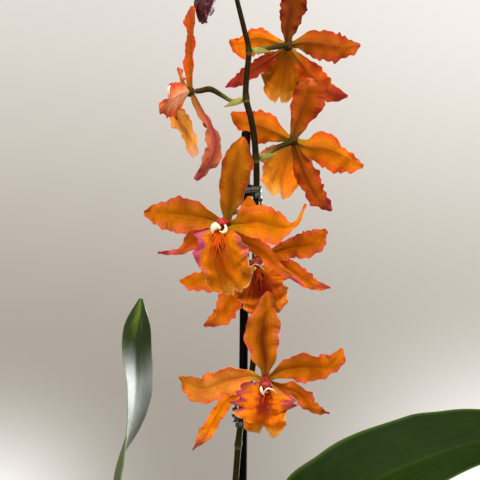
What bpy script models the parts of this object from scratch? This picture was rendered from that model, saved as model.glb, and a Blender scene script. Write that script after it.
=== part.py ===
"""Cambria orchid in its pot: one flower spike with six open blooms, tied to a stake.

X runs to the right, Y away from the front and Z up. The origin is the middle of the flat bottom of
the pot. Sizes and places are in millimetres, and a mesh is turned into metres when it is made.
"""

import math
import random

import bmesh
import bpy
from mathutils import Matrix, Vector

METRES = 0.001
TURN = 2 * math.pi
UP = Vector((0, 0, 1))

# Clearance between pieces that rest against each other
GAP = 0.3

# How far a four-cornered face may be from flat before it is split
FLAT = 0.01

# Pot and potting mix
POT_HEIGHT = 110
POT_FOOT_RADIUS = 46
POT_TOP_RADIUS = 58
POT_WALL = 3.5
POT_FLOOR = 5
POT_RIM_HEIGHT = 14
POT_RIM_STEP = 2.2
POT_EDGE = 1.5
POT_SIDES = 36
BARK_TOP = 100
BARK_CHIPS = 34
BARK_CHIP_REACH = 48
CUTTER_REACH = 30

# Pseudobulbs: the height of their feet, their widths at shares of the height, and for each its place, the
# height of its cut-off top, its half width and half depth, and how far its top leans
BULB_FOOT = 90
BULB_WIDTHS = [(0.06, 0.5), (0.2, 0.86), (0.38, 1), (0.58, 0.9), (0.78, 0.6), (0.93, 0.33), (1, 0.24)]
BULBS = {
    1: {"place": (-17, 17), "top": 172, "half": (17, 10), "lean": (-2, -1)},
    2: {"place": (13, 19), "top": 168, "half": (16, 9.5), "lean": (0, 1)},
    3: {"place": (36, 8), "top": 152, "half": (9, 14), "lean": (3, -1)},
}
RHIZOME_RADIUS = 5
RHIZOME_HEIGHT = 96

# Stake: its foot, its tip and its radius
STAKE_FOOT = (-3.5, 0, 20)
STAKE_TIP = (1.0, 0, 474.5)
STAKE_RADIUS = 2.25

# Ties: flat strips wound round stake and stem. The band is its low and high middle, turns and strip height,
# and the tail the places it passes through, its half width, turns and stations.
TIE_STEPS = 5
TIE_SLACK = 0.45
TIE_THICKNESS = 0.8
TIES = {
    "tie_upper": {
        "band": (442, 447, 1.6, 2.8),
        "tail": ([(7.9, -3, 442.5), (8.3, -4.2, 440), (8.6, -5, 436)], 1, 1.2, 7),
    },
    "tie_lower": {
        "band": (328.4, 331.6, 1.1, 2.6),
        "tail": ([(-4.3, -2, 329.5), (-4.8, -3, 333), (-4.2, -3.4, 338), (-3.6, -3.4, 343.5)], 1.5, 2.2, 13),
    },
}

# Flower spike: the places its stem passes through, root to tip
STEM = [
    (-19, 0, 92), (-19, -0.3, 104), (-18.6, -2, 128), (-15, -5, 190), (-8.5, -5.5, 255), (-4.2, -5, 301),
    (-2, -5, 326), (1.0, -4.9, 341.5), (4.5, -3, 358), (5.4, -1.2, 390), (5.8, -1.2, 432),
    (6.3, -1.2, 452), (5.8, -1.5, 463), (5, -1.8, 472), (3.4, -1.5, 481), (1, -0.5, 491), (1.4, 0, 503),
    (2.4, 0, 515), (0.2, 0, 525), (-3.5, 0, 540), (-6.5, 0.5, 553), (-7.5, 1, 566), (-10, 1, 579),
]
STEM_STATIONS = 40
STEM_ROOT_RADIUS = 2.4
STEM_RADIUS = 1.6
STEM_TIP_RADIUS = 0.9
PEDICEL_RADIUS = 0.95
OVARY_RADIUS = 1.5
BRACT_WIDTH = 5

# Blades: how many rows and columns their faces have, and how thick they are
TEPAL_ROWS = 10
LIP_ROWS = 10
BRACT_ROWS = 3
COLUMNS = 4
NARROW_COLUMNS = 2
LIP_COLUMNS = 6
EDGE_THICKNESS = 0.7
RIB_THICKNESS = 1.1
LEAF_EDGE_THICKNESS = 0.9
LEAF_RIB_THICKNESS = 2.0

# Outlines of one side of a blade: share of the half width at shares of the length
OUTLINES = {
    "oval": [
        (0, 0.2), (0.1, 0.3), (0.2, 0.55), (0.3, 0.8), (0.45, 0.98), (0.6, 0.9), (0.75, 0.66),
        (0.9, 0.38), (1, 0.08),
    ],
    "broad": [
        (0, 0.2), (0.1, 0.26), (0.2, 0.5), (0.3, 0.77), (0.45, 1.03), (0.6, 1.05), (0.75, 0.92),
        (0.88, 0.62), (1, 0.1),
    ],
    "fan": [
        (0, 0.2), (0.1, 0.4), (0.2, 0.6), (0.35, 0.8), (0.5, 1), (0.65, 1.12), (0.8, 1.1), (0.92, 0.9),
        (1, 0.3),
    ],
    "even": [
        (0, 0.2), (0.15, 0.45), (0.3, 0.6), (0.45, 0.72), (0.6, 0.66), (0.75, 0.7), (0.88, 0.52),
        (1, 0.08),
    ],
    "slim": [
        (0, 0.2), (0.15, 0.3), (0.3, 0.45), (0.45, 0.6), (0.6, 0.56), (0.75, 0.45), (0.88, 0.3),
        (1, 0.06),
    ],
    "late": [
        (0, 0.2), (0.1, 0.25), (0.25, 0.35), (0.4, 0.55), (0.55, 0.75), (0.7, 0.82), (0.85, 0.66),
        (1, 0.15),
    ],
    "near": [
        (0, 0.25), (0.1, 0.35), (0.2, 0.6), (0.3, 0.85), (0.42, 1.02), (0.52, 0.85), (0.62, 0.5),
        (0.75, 0.28), (0.9, 0.2), (1, 0.06),
    ],
    "hook": [
        (0, 0.2), (0.1, 0.4), (0.2, 0.65), (0.3, 0.86), (0.42, 0.97), (0.58, 0.86), (0.68, 0.42),
        (0.78, 0.2), (1, 0.07),
    ],
    "lip": [
        (0, 0.25), (0.1, 0.5), (0.28, 0.93), (0.44, 1), (0.6, 0.86), (0.77, 0.84), (0.9, 0.78),
        (1, 0.54),
    ],
    "lip_full": [
        (0, 0.25), (0.1, 0.5), (0.28, 0.95), (0.5, 1.04), (0.72, 1.03), (0.88, 0.92), (1, 0.6),
    ],
    "lip_waist": [
        (0, 0.25), (0.1, 0.5), (0.25, 0.93), (0.38, 0.88), (0.52, 0.82), (0.68, 0.6), (0.8, 0.66),
        (0.9, 0.6), (1, 0.36),
    ],
    "strap": [(0, 0.22), (0.15, 0.34), (0.4, 0.8), (0.6, 1), (0.8, 0.88), (0.93, 0.56), (1, 0.06)],
    "arch_upper": [
        (0, 0.2), (0.14, 0.32), (0.3, 0.66), (0.42, 0.95), (0.5, 1.05), (0.56, 0.88), (0.62, 0.86), (0.7, 0.88),
        (0.76, 0.7), (0.82, 0.5), (0.9, 0.3), (1, 0.05),
    ],
    "arch_lower": [
        (0, 0.2), (0.14, 0.32), (0.3, 0.66), (0.44, 0.86), (0.56, 0.88), (0.65, 0.78), (0.73, 0.5), (0.8, 0.42),
        (0.9, 0.28), (1, 0.05),
    ],
    "bract": [(0, 0.8), (0.4, 1), (0.75, 0.7), (1, 0.1)],
}

# Waves of a blade's edge: how many on its length, their height, and how much they move the outline
WAVE_COUNTS = (2.4, 4.3)
TEPAL_WAVE = 1.1
LIP_WAVE = 1.5
OUTLINE_WAVE = 0.07
LIP_ROUND_END = 0.4
LIP_NOTCH = 3.5

# Heart of a bloom: the knob that its tepals grow from, and where the lip and column start
HEART_RADIUS = 2.6
SEPAL_LAYER = -0.8
PETAL_LAYER = 0.5
LIP_START = (2.5, -2.0)
COLUMN_PATH = [(3.0, 1.1), (6.0, 1.7), (9.0, 1.3)]
COLUMN_RADII = [1.7, 1.45, 1.9]
CAP_HALF = (2.1, 1.5, 1.3)

# Blooms, top to bottom of the spike. heart is a place, facing the way the bloom looks. Each tepal has the
# places its midrib passes through, measured from the heart, then its width, the turns of its blade about
# the midrib at root and tip, in degrees, and the outlines of its left and right sides. pedicel goes from
# the stem to the back of the heart.
BLOOMS = {
    1: {
        "heart": (22.5, 13, 519),
        "facing": (0.12, 0.97, 0.1),
        "pedicel": [(2.2, 0, 514.5), (8, 2, 516), (15, 5, 517), (20, 8, 518.5)],
        "dorsal": ([(-0.5, 0, 8), (1, 1, 16.5), (4.5, 1, 28)], 13, (0, 20), ("fan", "late")),
        "petals": [
            ([(-6.5, -1, 2), (-16, -1, 4), (-24.5, 0, 1.5), (-30, 1, 3)], 14.5, (0, 0), ("slim", "broad")),
            ([(7, -1, 1.5), (17.5, -1, 0.5), (27.5, -1, -1), (37, 0, 0.5)], 15, (0, 0), ("oval", "oval")),
        ],
        "sepals": [
            ([(-5.5, 2, -4), (-14, 5, -9), (-22.5, 7, -14.5), (-32, 9, -20)], 12, (0, 10), ("slim", "even")),
            ([(5, 2, -6), (12.5, 4, -15), (21, 5, -22.5), (31, 5, -25)], 12, (0, -10), ("broad", "oval")),
        ],
        "lip": ([(-1, 14, -11), (-2.5, 17, -18.5), (-4.5, 15, -27)], 25, ("lip", "lip")),
    },
    2: {
        "heart": (-26.8, -5, 493.5),
        "facing": (-0.97, -0.2, -0.1),
        "pedicel": [(1, 0, 490.5), (-6, -1, 489.5), (-11, -2, 492), (-17, -4, 495)],
        "dorsal": ([(0.5, 0, 8.5), (0.5, 1, 21), (0.5, 1, 32), (1, 0, 42.5)], 13, (25, 12), ("fan", "fan")),
        "petals": [
            ([(-2.5, 7, 4), (-5, 17, 6.5), (-5.5, 29, 8.5), (-5.5, 38, 12.5)], 14, (0, 0), ("oval", "broad")),
            (
                [(-1.5, -7, -0.3), (-6.5, -16, -2.2), (-11.5, -25, -4.5), (-17, -31, -8.5)],
                16, (0, -10), ("broad", "oval"),
            ),
        ],
        "sepals": [
            (
                [(4, -1, -7), (10, -4, -16.5), (12.5, -7, -27), (9, -9, -37), (3.5, -10, -44.5)],
                13, (30, 65), ("even", "oval"),
            ),
            (
                [(4, 3, -5.5), (9.5, 11, -15), (12.5, 17, -21.5), (10.5, 23, -32)],
                12, (0, 0), ("oval", "even"),
            ),
        ],
        "lip": ([(-7, 0.5, -8), (-5.5, 0.5, -14), (-1.5, 0, -22), (1.5, 0, -32.5)], 20, ("lip", "lip")),
    },
    3: {
        "heart": (25, 12, 470.5),
        "facing": (0, 0.97, 0.1),
        "pedicel": [(6.2, 0.3, 460.5), (12, 2.5, 463.5), (18, 5.5, 467)],
        "dorsal": ([(1.5, -1, 8), (5, -2, 17), (7.5, -3, 24.5), (9, -4, 31.5)], 17, (0, 10), ("fan", "late")),
        "petals": [
            ([(-6.5, -1, 3), (-16, -1, 7), (-24, 0, 9.5), (-31.5, 1, 14.5)], 15, (0, 0), ("oval", "oval")),
            ([(7, -1, -3), (17, -1, -4.5), (26.5, 0, -8), (36, 1, -13)], 17, (0, 0), ("broad", "near")),
        ],
        "sepals": [
            ([(1.5, 2, -8), (4.5, 4.5, -17), (9, 6.5, -25), (15, 8.5, -32)], 10, (0, 0), ("slim", "even")),
            ([(3, 1, -7.5), (6.5, 2, -17), (11.5, 3, -26.5), (20, 4, -35.5)], 12, (0, 0), ("even", "oval")),
        ],
        "lip": ([(-3.5, 14, -12), (-5.5, 17, -20), (-6.5, 15, -28)], 26, ("lip", "lip")),
    },
    4: {
        "heart": (-8, -34, 427.5),
        "facing": (-0.35, -0.92, -0.12),
        "pedicel": [(5.8, -1.2, 434), (3.5, -5.5, 434.5), (-3, -9, 434), (-8.5, -15, 431.5), (-8.5, -24, 429)],
        "dorsal": ([(1.5, -2, 9), (2.5, -3, 22), (5, -3, 32.5), (7.5, -1, 41)], 17, (0, 0), ("even", "broad")),
        "petals": [
            ([(-5.5, 1, 1.5), (-18.5, 6, 4.5), (-30, 9, 5.5), (-40, 12, 5.5)], 16, (0, 0), ("broad", "oval")),
            (
                [(6, -2, 0), (15, -7, 1), (24, -10, -1.5), (31, -12, -0.5), (36.5, -12, 9)],
                17, (0, 0), ("hook", "hook"),
            ),
        ],
        "sepals": [
            ([(-7, 3, -4.5), (-16, 7, -8), (-23, 9, -13), (-33.5, 10, -13.5)], 9.5, (0, 0), ("near", "near")),
            ([(7, 0, -7.5), (14.5, -1, -12), (23.5, -2, -19.5), (36, 0, -29)], 9.5, (0, 0), ("near", "slim")),
        ],
        "lip": ([(-3.5, -12, -11), (-1.5, -12, -22), (4, -8, -32)], 26, ("lip_full", "lip_waist")),
    },
    5: {
        "heart": (6.3, -14, 409.5),
        "facing": (0.05, -0.96, -0.25),
        "pedicel": [(5.3, -1, 399), (5.8, -5, 408), (6.2, -8, 411)],
        "dorsal": ([(-0.5, 1, 8.5), (-2.5, 2, 19.5), (-4, 2, 32)], 13, (0, 0), ("broad", "oval")),
        "petals": [
            ([(-6, 1, -1), (-17, 2, -5), (-28, 2, -8.5), (-38, 3, -9.5)], 13, (0, 0), ("broad", "slim")),
            ([(7.5, -1, 4), (17, -2, 7), (26, -3, 8.5), (34, -3, 15)], 15, (0, 0), ("late", "even")),
        ],
        "sepals": [
            (
                [(-3.5, 2, -7), (-12, 2, -17.5), (-18.5, 2, -26.5), (-26, 1, -31.5)],
                10.5, (0, 0), ("broad", "oval"),
            ),
            ([(9, 2, -0.5), (19, 1, -6), (27, 0, -11.5), (36, 1, -13)], 9.5, (0, 0), ("oval", "slim")),
        ],
        "lip": ([(2, -9, -13), (4, -9, -20), (5, -5, -27)], 27, ("lip", "lip")),
    },
    6: {
        "heart": (10, -30, 353.5),
        "facing": (-0.02, -0.94, -0.33),
        "pedicel": [(4.8, -2.3, 368), (7, -9, 366.5), (9.5, -17, 362), (10, -24, 357)],
        "dorsal": ([(0, 0, 8.5), (-1.5, 0, 19), (0, 0, 32), (1.5, 0, 42)], 17, (0, 0), ("oval", "broad")),
        "petals": [
            ([(-7, -1, 2), (-18, -2, 0), (-30, -1, -3.5), (-41, 0, 1.5)], 14, (0, 0), ("broad", "oval")),
            (
                [(7.5, -1, 4.5), (18, -2, 6.5), (27, -2, 6.5), (33, -1.5, 9), (36.5, -1, 15)],
                14, (0, 0), ("oval", "oval"),
            ),
        ],
        "sepals": [
            (
                [(-6.5, 1, -4), (-16, 1, -8), (-23, 0, -17), (-28, -1, -26), (-34.5, -2, -33)],
                9.5, (0, 0), ("slim", "even"),
            ),
            ([(7, 1, -3.5), (15, 0, -6), (22.5, -1, -13.5), (30.5, -1, -15.5)], 9, (0, 0), ("oval", "slim")),
        ],
        "lip": ([(-1, -13, -10), (-1, -15, -17), (-0.5, -10, -26)], 28, ("lip", "lip")),
    },
}

# Buds: the stem place their pedicel starts at, then base, middle and tip of the bud, and its radius
BUDS = {
    "bud_opening": ([(-6.2, 0.4, 552), (-9, 2, 556), (-13.5, 4, 556)], (-16, 5, 553), (-22.3, 6, 530), 5.6),
    "bud_upper": ([(-7.6, 1, 567), (-4, 0, 571), (-0.5, -1, 575)], (1, -1.5, 577.5), (7, -3.5, 589), 3.6),
    "bud_tip": ([(-10, 1, 579), (-12, 1, 583)], (-12.8, 1, 585.5), (-15.5, 1, 596), 2.8),
}

# Leaves: midrib from root to tip, the way the upper face looks at root and at tip, and the width.
# A leaf that starts at a pseudobulb's top names it, and the others start in the potting mix.
LEAVES = {
    "leaf_left": {
        "midrib": [
            (-21.5, 14.4, 172), (-33, 6, 200), (-50, -8, 245), (-61, -18, 280), (-62, -22, 305),
            (-55.4, -23.5, 329), (-52.6, -24.5, 348), (-52.2, -25, 372), (-49.4, -26, 392),
        ],
        "faces": [
            (0.9, 0.3, 0.6), (0.95, 0.2, 0.5), (1, 0.1, 0.4), (1, 0.12, 0.1), (1, 0.1, 0),
            (0.85, -0.5, 0), (0.1, -1, 0),
        ],
        "outline": ("strap", "strap"),
        "width": 28,
        "rows": 16,
        "bulb": 1,
    },
    "leaf_right": {
        "midrib": [
            (14, 16, 168), (17, 8, 203), (24, -14, 250), (35, -32, 280), (48, -40, 299), (60.4, -45, 309),
            (89.3, -52, 322.7), (106.8, -56, 328.9), (132, -60, 333), (160, -62, 328),
        ],
        "faces": [(-0.6, 0.2, 0.7), (-0.6, -0.7, 0.4), (-0.3, -0.9, 0.35), (0, -0.93, 0.35)],
        "outline": ("arch_upper", "arch_lower"),
        "width": 52,
        "rows": 16,
        "bulb": 2,
    },
    "leaf_back_left": {
        "midrib": [(-17.5, 18.2, 172), (-33, 38, 212), (-58, 66, 246), (-88, 96, 254), (-118, 124, 232)],
        "faces": [(0.5, -0.5, 0.7), (0.3, -0.3, 0.9), (0, 0, 1)],
        "outline": ("strap", "strap"),
        "width": 34,
        "rows": 11,
        "bulb": 1,
    },
    "leaf_back_right": {
        "midrib": [(14, 22.8, 168), (26, 42, 210), (50, 68, 240), (84, 94, 245), (116, 116, 222)],
        "faces": [(-0.5, -0.5, 0.7), (-0.3, -0.3, 0.9), (0, 0, 1)],
        "outline": ("strap", "strap"),
        "width": 34,
        "rows": 11,
        "bulb": 2,
    },
    "leaf_old": {
        "midrib": [(39, 7.5, 152), (54, 10, 190), (84, 14, 218), (120, 18, 214), (150, 22, 184)],
        "faces": [(-0.7, 0, 0.7), (-0.3, 0, 0.95), (0.2, 0, 0.95)],
        "outline": ("strap", "strap"),
        "width": 30,
        "rows": 11,
        "bulb": 3,
    },
    "leaf_front_left": {
        "midrib": [
            (-41, 2, 92), (-43, 0, 108), (-58, -14, 160), (-86, -36, 196), (-118, -58, 200), (-146, -76, 176),
        ],
        "faces": [(0.8, 0.4, 0.3), (0.5, 0.2, 0.8), (0, 0, 1)],
        "outline": ("strap", "strap"),
        "width": 32,
        "rows": 11,
        "bulb": None,
    },
    "leaf_front_right": {
        "midrib": [
            (22, -16, 92), (24, -18, 108), (38, -36, 158), (62, -64, 192), (90, -92, 196), (114, -116, 172),
        ],
        "faces": [(-0.6, 0.6, 0.4), (-0.3, 0.3, 0.9), (0, 0, 1)],
        "outline": ("strap", "strap"),
        "width": 32,
        "rows": 11,
        "bulb": None,
    },
}
LEAF_FOLDS = (62, 12)
TEPAL_FOLDS = (30, 6)
LIP_FOLDS = (20, -12)
BRACT_FOLDS = (50, 40)

# Colours, roughness: the same for every node of a kind
FINISHES = {
    "tepal": ((0.62, 0.17, 0.02), 0.5),
    "lip": ((0.75, 0.24, 0.04), 0.5),
    "column": ((0.35, 0.02, 0.03), 0.4),
    "cap": ((0.85, 0.72, 0.4), 0.4),
    "bud": ((0.09, 0.012, 0.02), 0.5),
    "stem": ((0.06, 0.05, 0.015), 0.5),
    "leaf": ((0.04, 0.085, 0.012), 0.35),
    "pseudobulb": ((0.12, 0.2, 0.03), 0.45),
    "bark": ((0.12, 0.06, 0.03), 0.95),
    "pot": ((0.72, 0.69, 0.63), 0.35),
    "stake": ((0.015, 0.014, 0.013), 0.4),
    "tie": ((0.03, 0.055, 0.03), 0.35),
}


def clear_scene():
    for thing in list(bpy.data.objects):
        bpy.data.objects.remove(thing, do_unlink=True)


# Curves


def mix_at(near, far, start, end, at):
    return (near * (end - at) + far * (at - start)) / (end - start)


def spline_place(four, share):
    """A place between the middle two of four points, on a centripetal Catmull-Rom curve."""
    a, b, c, d = four
    knots = [0.0]
    for near, far in zip(four, four[1:]):
        knots.append(knots[-1] + math.sqrt((far - near).length))
    at = knots[1] + (knots[2] - knots[1]) * share
    ab = mix_at(a, b, knots[0], knots[1], at)
    bc = mix_at(b, c, knots[1], knots[2], at)
    cd = mix_at(c, d, knots[2], knots[3], at)
    abc = mix_at(ab, bc, knots[0], knots[2], at)
    bcd = mix_at(bc, cd, knots[1], knots[3], at)
    return mix_at(abc, bcd, knots[1], knots[2], at)


def smooth_path(points, count, steps=12):
    """Evenly spaced places along the smooth curve through the points."""
    points = [Vector(point) for point in points]
    padded = [points[0] * 2 - points[1]] + points + [points[-1] * 2 - points[-2]]
    fine = []
    for start in range(len(points) - 1):
        for step in range(steps):
            fine.append(spline_place(padded[start : start + 4], step / steps))
    fine.append(points[-1])
    lengths = [0.0]
    for near, far in zip(fine, fine[1:]):
        lengths.append(lengths[-1] + (far - near).length)
    places = []
    span = 0
    for index in range(count):
        wanted = lengths[-1] * index / (count - 1)
        while span < len(fine) - 2 and lengths[span + 1] < wanted:
            span += 1
        share = (wanted - lengths[span]) / (lengths[span + 1] - lengths[span])
        places.append(fine[span].lerp(fine[span + 1], min(share, 1)))
    return places


def directions(places):
    ends = [places[0]] + places + [places[-1]]
    return [(ends[i + 2] - ends[i]).normalized() for i in range(len(places))]


def eased(share):
    return share * share * (3 - 2 * share)


def outline_at(outline, share):
    """The outline's value at a share of the length, eased from one of its points to the next."""
    for (start, near), (end, far) in zip(outline, outline[1:]):
        if share <= end:
            return near + (far - near) * eased((share - start) / (end - start))
    return outline[-1][1]


def between(values, share):
    """A value on the straight runs between evenly spaced values."""
    place = min(max(share, 0), 1) * (len(values) - 1)
    start = min(int(place), len(values) - 2)
    near, far = values[start], values[start + 1]
    return near + (far - near) * (place - start)


# Meshes, each as a list of places and a list of faces


def skin(rings):
    """A closed mesh over a row of rings of as many points each. A ring of one point is a pole."""
    places = []
    starts = []
    faces = []
    for ring in rings:
        starts.append(len(places))
        places.extend(ring)
    for index, (near, far) in enumerate(zip(rings, rings[1:])):
        count = max(len(near), len(far))
        for step in range(count):
            after = (step + 1) % count
            corners = [starts[index] + step % len(near), starts[index] + after % len(near)]
            corners += [starts[index + 1] + after % len(far), starts[index + 1] + step % len(far)]
            faces.append(list(dict.fromkeys(corners)))
    for index in (0, len(rings) - 1):
        if len(rings[index]) > 1:
            faces.append([starts[index] + step for step in range(len(rings[index]))])
    return places, faces


def circle(centre, along, radii, sides, across=None):
    """A ring of points round a centre. across is the way its first radius points."""
    across = across or (Vector((1, 0, 0)) if abs(along.x) < 0.8 else Vector((0, 1, 0)))
    first = (across - along * across.dot(along)).normalized()
    second = along.cross(first)
    wide, deep = radii
    ring = []
    for step in range(sides):
        angle = TURN * step / sides
        ring.append(centre + first * (wide * math.cos(angle)) + second * (deep * math.sin(angle)))
    return ring


def tube(points, radii, sides, stations, across=None):
    """A tube along a smooth curve, whose radius runs through the given ones."""
    places = smooth_path(points, stations)
    rings = []
    for index, (place, along) in enumerate(zip(places, directions(places))):
        radius = between(radii, index / (stations - 1))
        rings.append(circle(place, along, (radius, radius), sides, across))
    return skin(rings)


def turned(profile, sides, centre=(0, 0)):
    """A solid turned about a vertical axis. The profile is a list of radius and height."""
    rings = []
    for radius, height in profile:
        middle = Vector((centre[0], centre[1], height))
        rings.append([middle] if radius == 0 else circle(middle, UP, (radius, radius), sides))
    return skin(rings)


def egg(base, tip, half, sides, shares, across=None):
    """A rounded body from base to tip. shares lists where its rings are and how wide they are."""
    base, tip = Vector(base), Vector(tip)
    along = (tip - base).normalized()
    rings = [[base]]
    for place, width in shares:
        radii = (half[0] * width, half[1] * width)
        rings.append(circle(base.lerp(tip, place), along, radii, sides, across))
    rings.append([tip])
    return skin(rings)


def ball_shares(rings):
    """Places and widths of the rings of an ellipsoid."""
    shares = []
    for step in range(1, rings):
        angle = math.pi * step / rings
        shares.append(((1 - math.cos(angle)) / 2, math.sin(angle)))
    return shares


def edge_wave(seed):
    """The height of the waves along one edge, as a function of the share of the length."""
    draw = random.Random(seed)
    waves = [(count, draw.uniform(0, TURN), draw.uniform(0.5, 1)) for count in WAVE_COUNTS]
    return lambda share: sum(size * math.sin(TURN * count * share + start) for count, start, size in waves)


def blade_rows(blade, rows, columns):
    """The middle surface of a blade, as rows of points from its left edge to its right."""
    places = smooth_path(blade["midrib"], rows + 1)
    half = blade["width"] / 2
    waves = [edge_wave(blade["seed"]), edge_wave(blade["seed"] + 1)]
    grid = []
    for index, (place, along) in enumerate(zip(places, directions(places))):
        share = index / rows
        face = between([Vector(face) for face in blade["faces"]], share)
        face = (face - along * face.dot(along)).normalized()
        face = Matrix.Rotation(math.radians(between(blade["turns"], share)), 3, along) @ face
        across = along.cross(face)
        fold = math.radians(between(blade["folds"], min(1, share / 0.6)))
        rise = eased(min(1, share / 0.35)) * blade["wave"]
        row = []
        for column in range(columns + 1):
            side = 2 * column / columns - 1
            wave = waves[side > 0](share)
            reach = half * outline_at(OUTLINES[blade["outline"][side > 0]], share)
            reach *= 1 + OUTLINE_WAVE * waves[side < 0](share) * abs(side) * min(1, blade["wave"])
            point = place + across * (side * reach * math.cos(fold))
            point += face * (abs(side) * reach * math.sin(fold) + side * side * rise * wave)
            point -= along * blade["round_end"] * reach * share * side * side
            point -= along * blade["notch"] * share**5 * max(0, 1 - abs(side) * 3)
            row.append(point)
        grid.append(row)
    return grid


def grid_normals(grid):
    normals = []
    for i, row in enumerate(grid):
        before, after = grid[max(i - 1, 0)], grid[min(i + 1, len(grid) - 1)]
        line = []
        for j in range(len(row)):
            across = row[min(j + 1, len(row) - 1)] - row[max(j - 1, 0)]
            line.append(across.cross(after[j] - before[j]).normalized())
        normals.append(line)
    return normals


def blade_mesh(blade, rows, columns):
    """A closed thin body round the middle surface, split into triangles alike on both faces."""
    grid = blade_rows(blade, rows, columns)
    normals = grid_normals(grid)
    edge, rib = blade["thickness"]
    places = []
    for row, line in zip(grid, normals):
        for way in (1, -1):
            for column, (point, normal) in enumerate(zip(row, line)):
                side = abs(2 * column / columns - 1)
                places.append(point + normal * way * (rib + (edge - rib) * side) / 2)
    wide = columns + 1

    def number(i, j, back):
        return (2 * i + back) * wide + j

    faces = []
    for i in range(rows):
        for j in range(columns):
            corners = [(i, j), (i, j + 1), (i + 1, j + 1), (i + 1, j)]
            if j >= columns / 2:
                corners = corners[1:] + corners[:1]
            for back in (0, 1):
                a, b, c, d = [number(*corner, back) for corner in corners]
                faces.extend([[a, b, c], [a, c, d]])
        for j in (0, columns):
            faces.append([number(i, j, 0), number(i + 1, j, 0), number(i + 1, j, 1), number(i, j, 1)])
    for i in (0, rows):
        for j in range(columns):
            faces.append([number(i, j, 0), number(i, j + 1, 0), number(i, j + 1, 1), number(i, j, 1)])
    return places, faces


# Objects


def material(kind):
    made = bpy.data.materials.get(kind)
    if made:
        return made
    colour, roughness = FINISHES[kind]
    made = bpy.data.materials.new(kind)
    made.use_nodes = True
    shader = made.node_tree.nodes["Principled BSDF"]
    shader.inputs["Base Color"].default_value = (*colour, 1)
    shader.inputs["Roughness"].default_value = roughness
    shader.inputs["Metallic"].default_value = 0
    return made


def needs_split(face):
    """Whether a face has more than four corners or isn't flat."""
    middle = face.calc_center_median()
    away = max(abs((corner.co - middle).dot(face.normal)) for corner in face.verts)
    return len(face.verts) > 4 or away > FLAT * METRES


def mesh_of(name, shape):
    places, faces = shape
    mesh = bpy.data.meshes.new(name)
    mesh.from_pydata([place * METRES for place in places], [], faces)
    work = bmesh.new()
    work.from_mesh(mesh)
    bmesh.ops.recalc_face_normals(work, faces=work.faces)
    work.normal_update()
    bmesh.ops.triangulate(work, faces=[face for face in work.faces if needs_split(face)])
    work.to_mesh(mesh)
    work.free()
    return mesh


def put(name, mesh, kind, sharp_degrees=50):
    """A named object with the finish of its kind."""
    mesh.shade_smooth()
    mesh.set_sharp_from_angle(angle=math.radians(sharp_degrees))
    body = bpy.data.objects.new(name, mesh)
    body.data.materials.clear()
    body.data.materials.append(material(kind))
    bpy.context.scene.collection.objects.link(body)
    return body


def combined(name, first, others, operation):
    """The mesh of one Boolean between a mesh and all of the others."""
    body = bpy.data.objects.new(name, first)
    bpy.context.scene.collection.objects.link(body)
    group = bpy.data.collections.new(name)
    bpy.context.scene.collection.children.link(group)
    for mesh in others:
        group.objects.link(bpy.data.objects.new(name, mesh))
    step = body.modifiers.new("combined", "BOOLEAN")
    step.operation = operation
    step.operand_type = "COLLECTION"
    step.collection = group
    step.solver = "MANIFOLD"
    graph = bpy.context.evaluated_depsgraph_get()
    result = bpy.data.meshes.new_from_object(body.evaluated_get(graph))
    for piece in list(group.objects) + [body]:
        bpy.data.objects.remove(piece, do_unlink=True)
    bpy.data.collections.remove(group)
    result.name = name
    return result


def islands(work):
    """The vertices of each connected surface of a mesh."""
    left = set(work.verts)
    while left:
        found = {left.pop()}
        edge = list(found)
        while edge:
            near = {other.other_vert(point) for point in edge for other in point.link_edges} - found
            found |= near
            edge = list(near)
        left -= found
        yield found


def one_body(mesh):
    """Keeps the largest surface alone, which fills sealed hollows and drops loose scraps."""
    work = bmesh.new()
    work.from_mesh(mesh)
    found = sorted(islands(work), key=len)
    bmesh.ops.delete(work, geom=[point for island in found[:-1] for point in island], context="VERTS")
    work.to_mesh(mesh)
    work.free()
    return mesh


def fused(name, shapes):
    meshes = [mesh_of(name, shape) for shape in shapes]
    return one_body(combined(name, meshes[0], meshes[1:], "UNION"))


# Pot and potting mix


def pot_inner_radius(height):
    slope = (POT_TOP_RADIUS - POT_FOOT_RADIUS) / POT_HEIGHT
    return POT_FOOT_RADIUS + slope * height - POT_WALL


def make_pot():
    rim_foot = POT_HEIGHT - POT_RIM_HEIGHT
    outer = POT_WALL + pot_inner_radius(rim_foot)
    rim = POT_TOP_RADIUS + POT_RIM_STEP
    inside_floor = pot_inner_radius(POT_FLOOR)
    profile = [
        (0, 0), (POT_FOOT_RADIUS - POT_EDGE, 0), (POT_FOOT_RADIUS, POT_EDGE), (outer, rim_foot),
        (rim - POT_EDGE / 2, rim_foot + POT_EDGE), (rim, POT_HEIGHT - POT_EDGE), (rim - POT_EDGE, POT_HEIGHT),
        (pot_inner_radius(POT_HEIGHT) + POT_EDGE, POT_HEIGHT),
        (pot_inner_radius(POT_HEIGHT), POT_HEIGHT - POT_EDGE), (inside_floor, POT_FLOOR), (0, POT_FLOOR),
    ]
    put("pot", mesh_of("pot", turned(profile, POT_SIDES)), "pot", sharp_degrees=35)


def bark_chip(draw, place):
    """A chunk of bark: a box with its corners moved a little, turned any way and half sunk."""
    half = Vector((draw.uniform(4, 7.5), draw.uniform(2.8, 4.8), draw.uniform(1.6, 3)))
    turn = Matrix.Rotation(draw.uniform(0, TURN), 3, "Z") @ Matrix.Rotation(draw.uniform(-0.5, 0.5), 3, "X")
    turn = turn @ Matrix.Rotation(draw.uniform(-0.4, 0.4), 3, "Y")
    rings = []
    for height in (-1, 1):
        ring = []
        for x, y in ((-1, -1), (1, -1), (1, 1), (-1, 1)):
            corner = Vector((x * half.x, y * half.y, height * half.z))
            corner *= draw.uniform(0.75, 1)
            ring.append(place + turn @ corner)
        rings.append(ring)
    return half.length, skin(rings)


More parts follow.
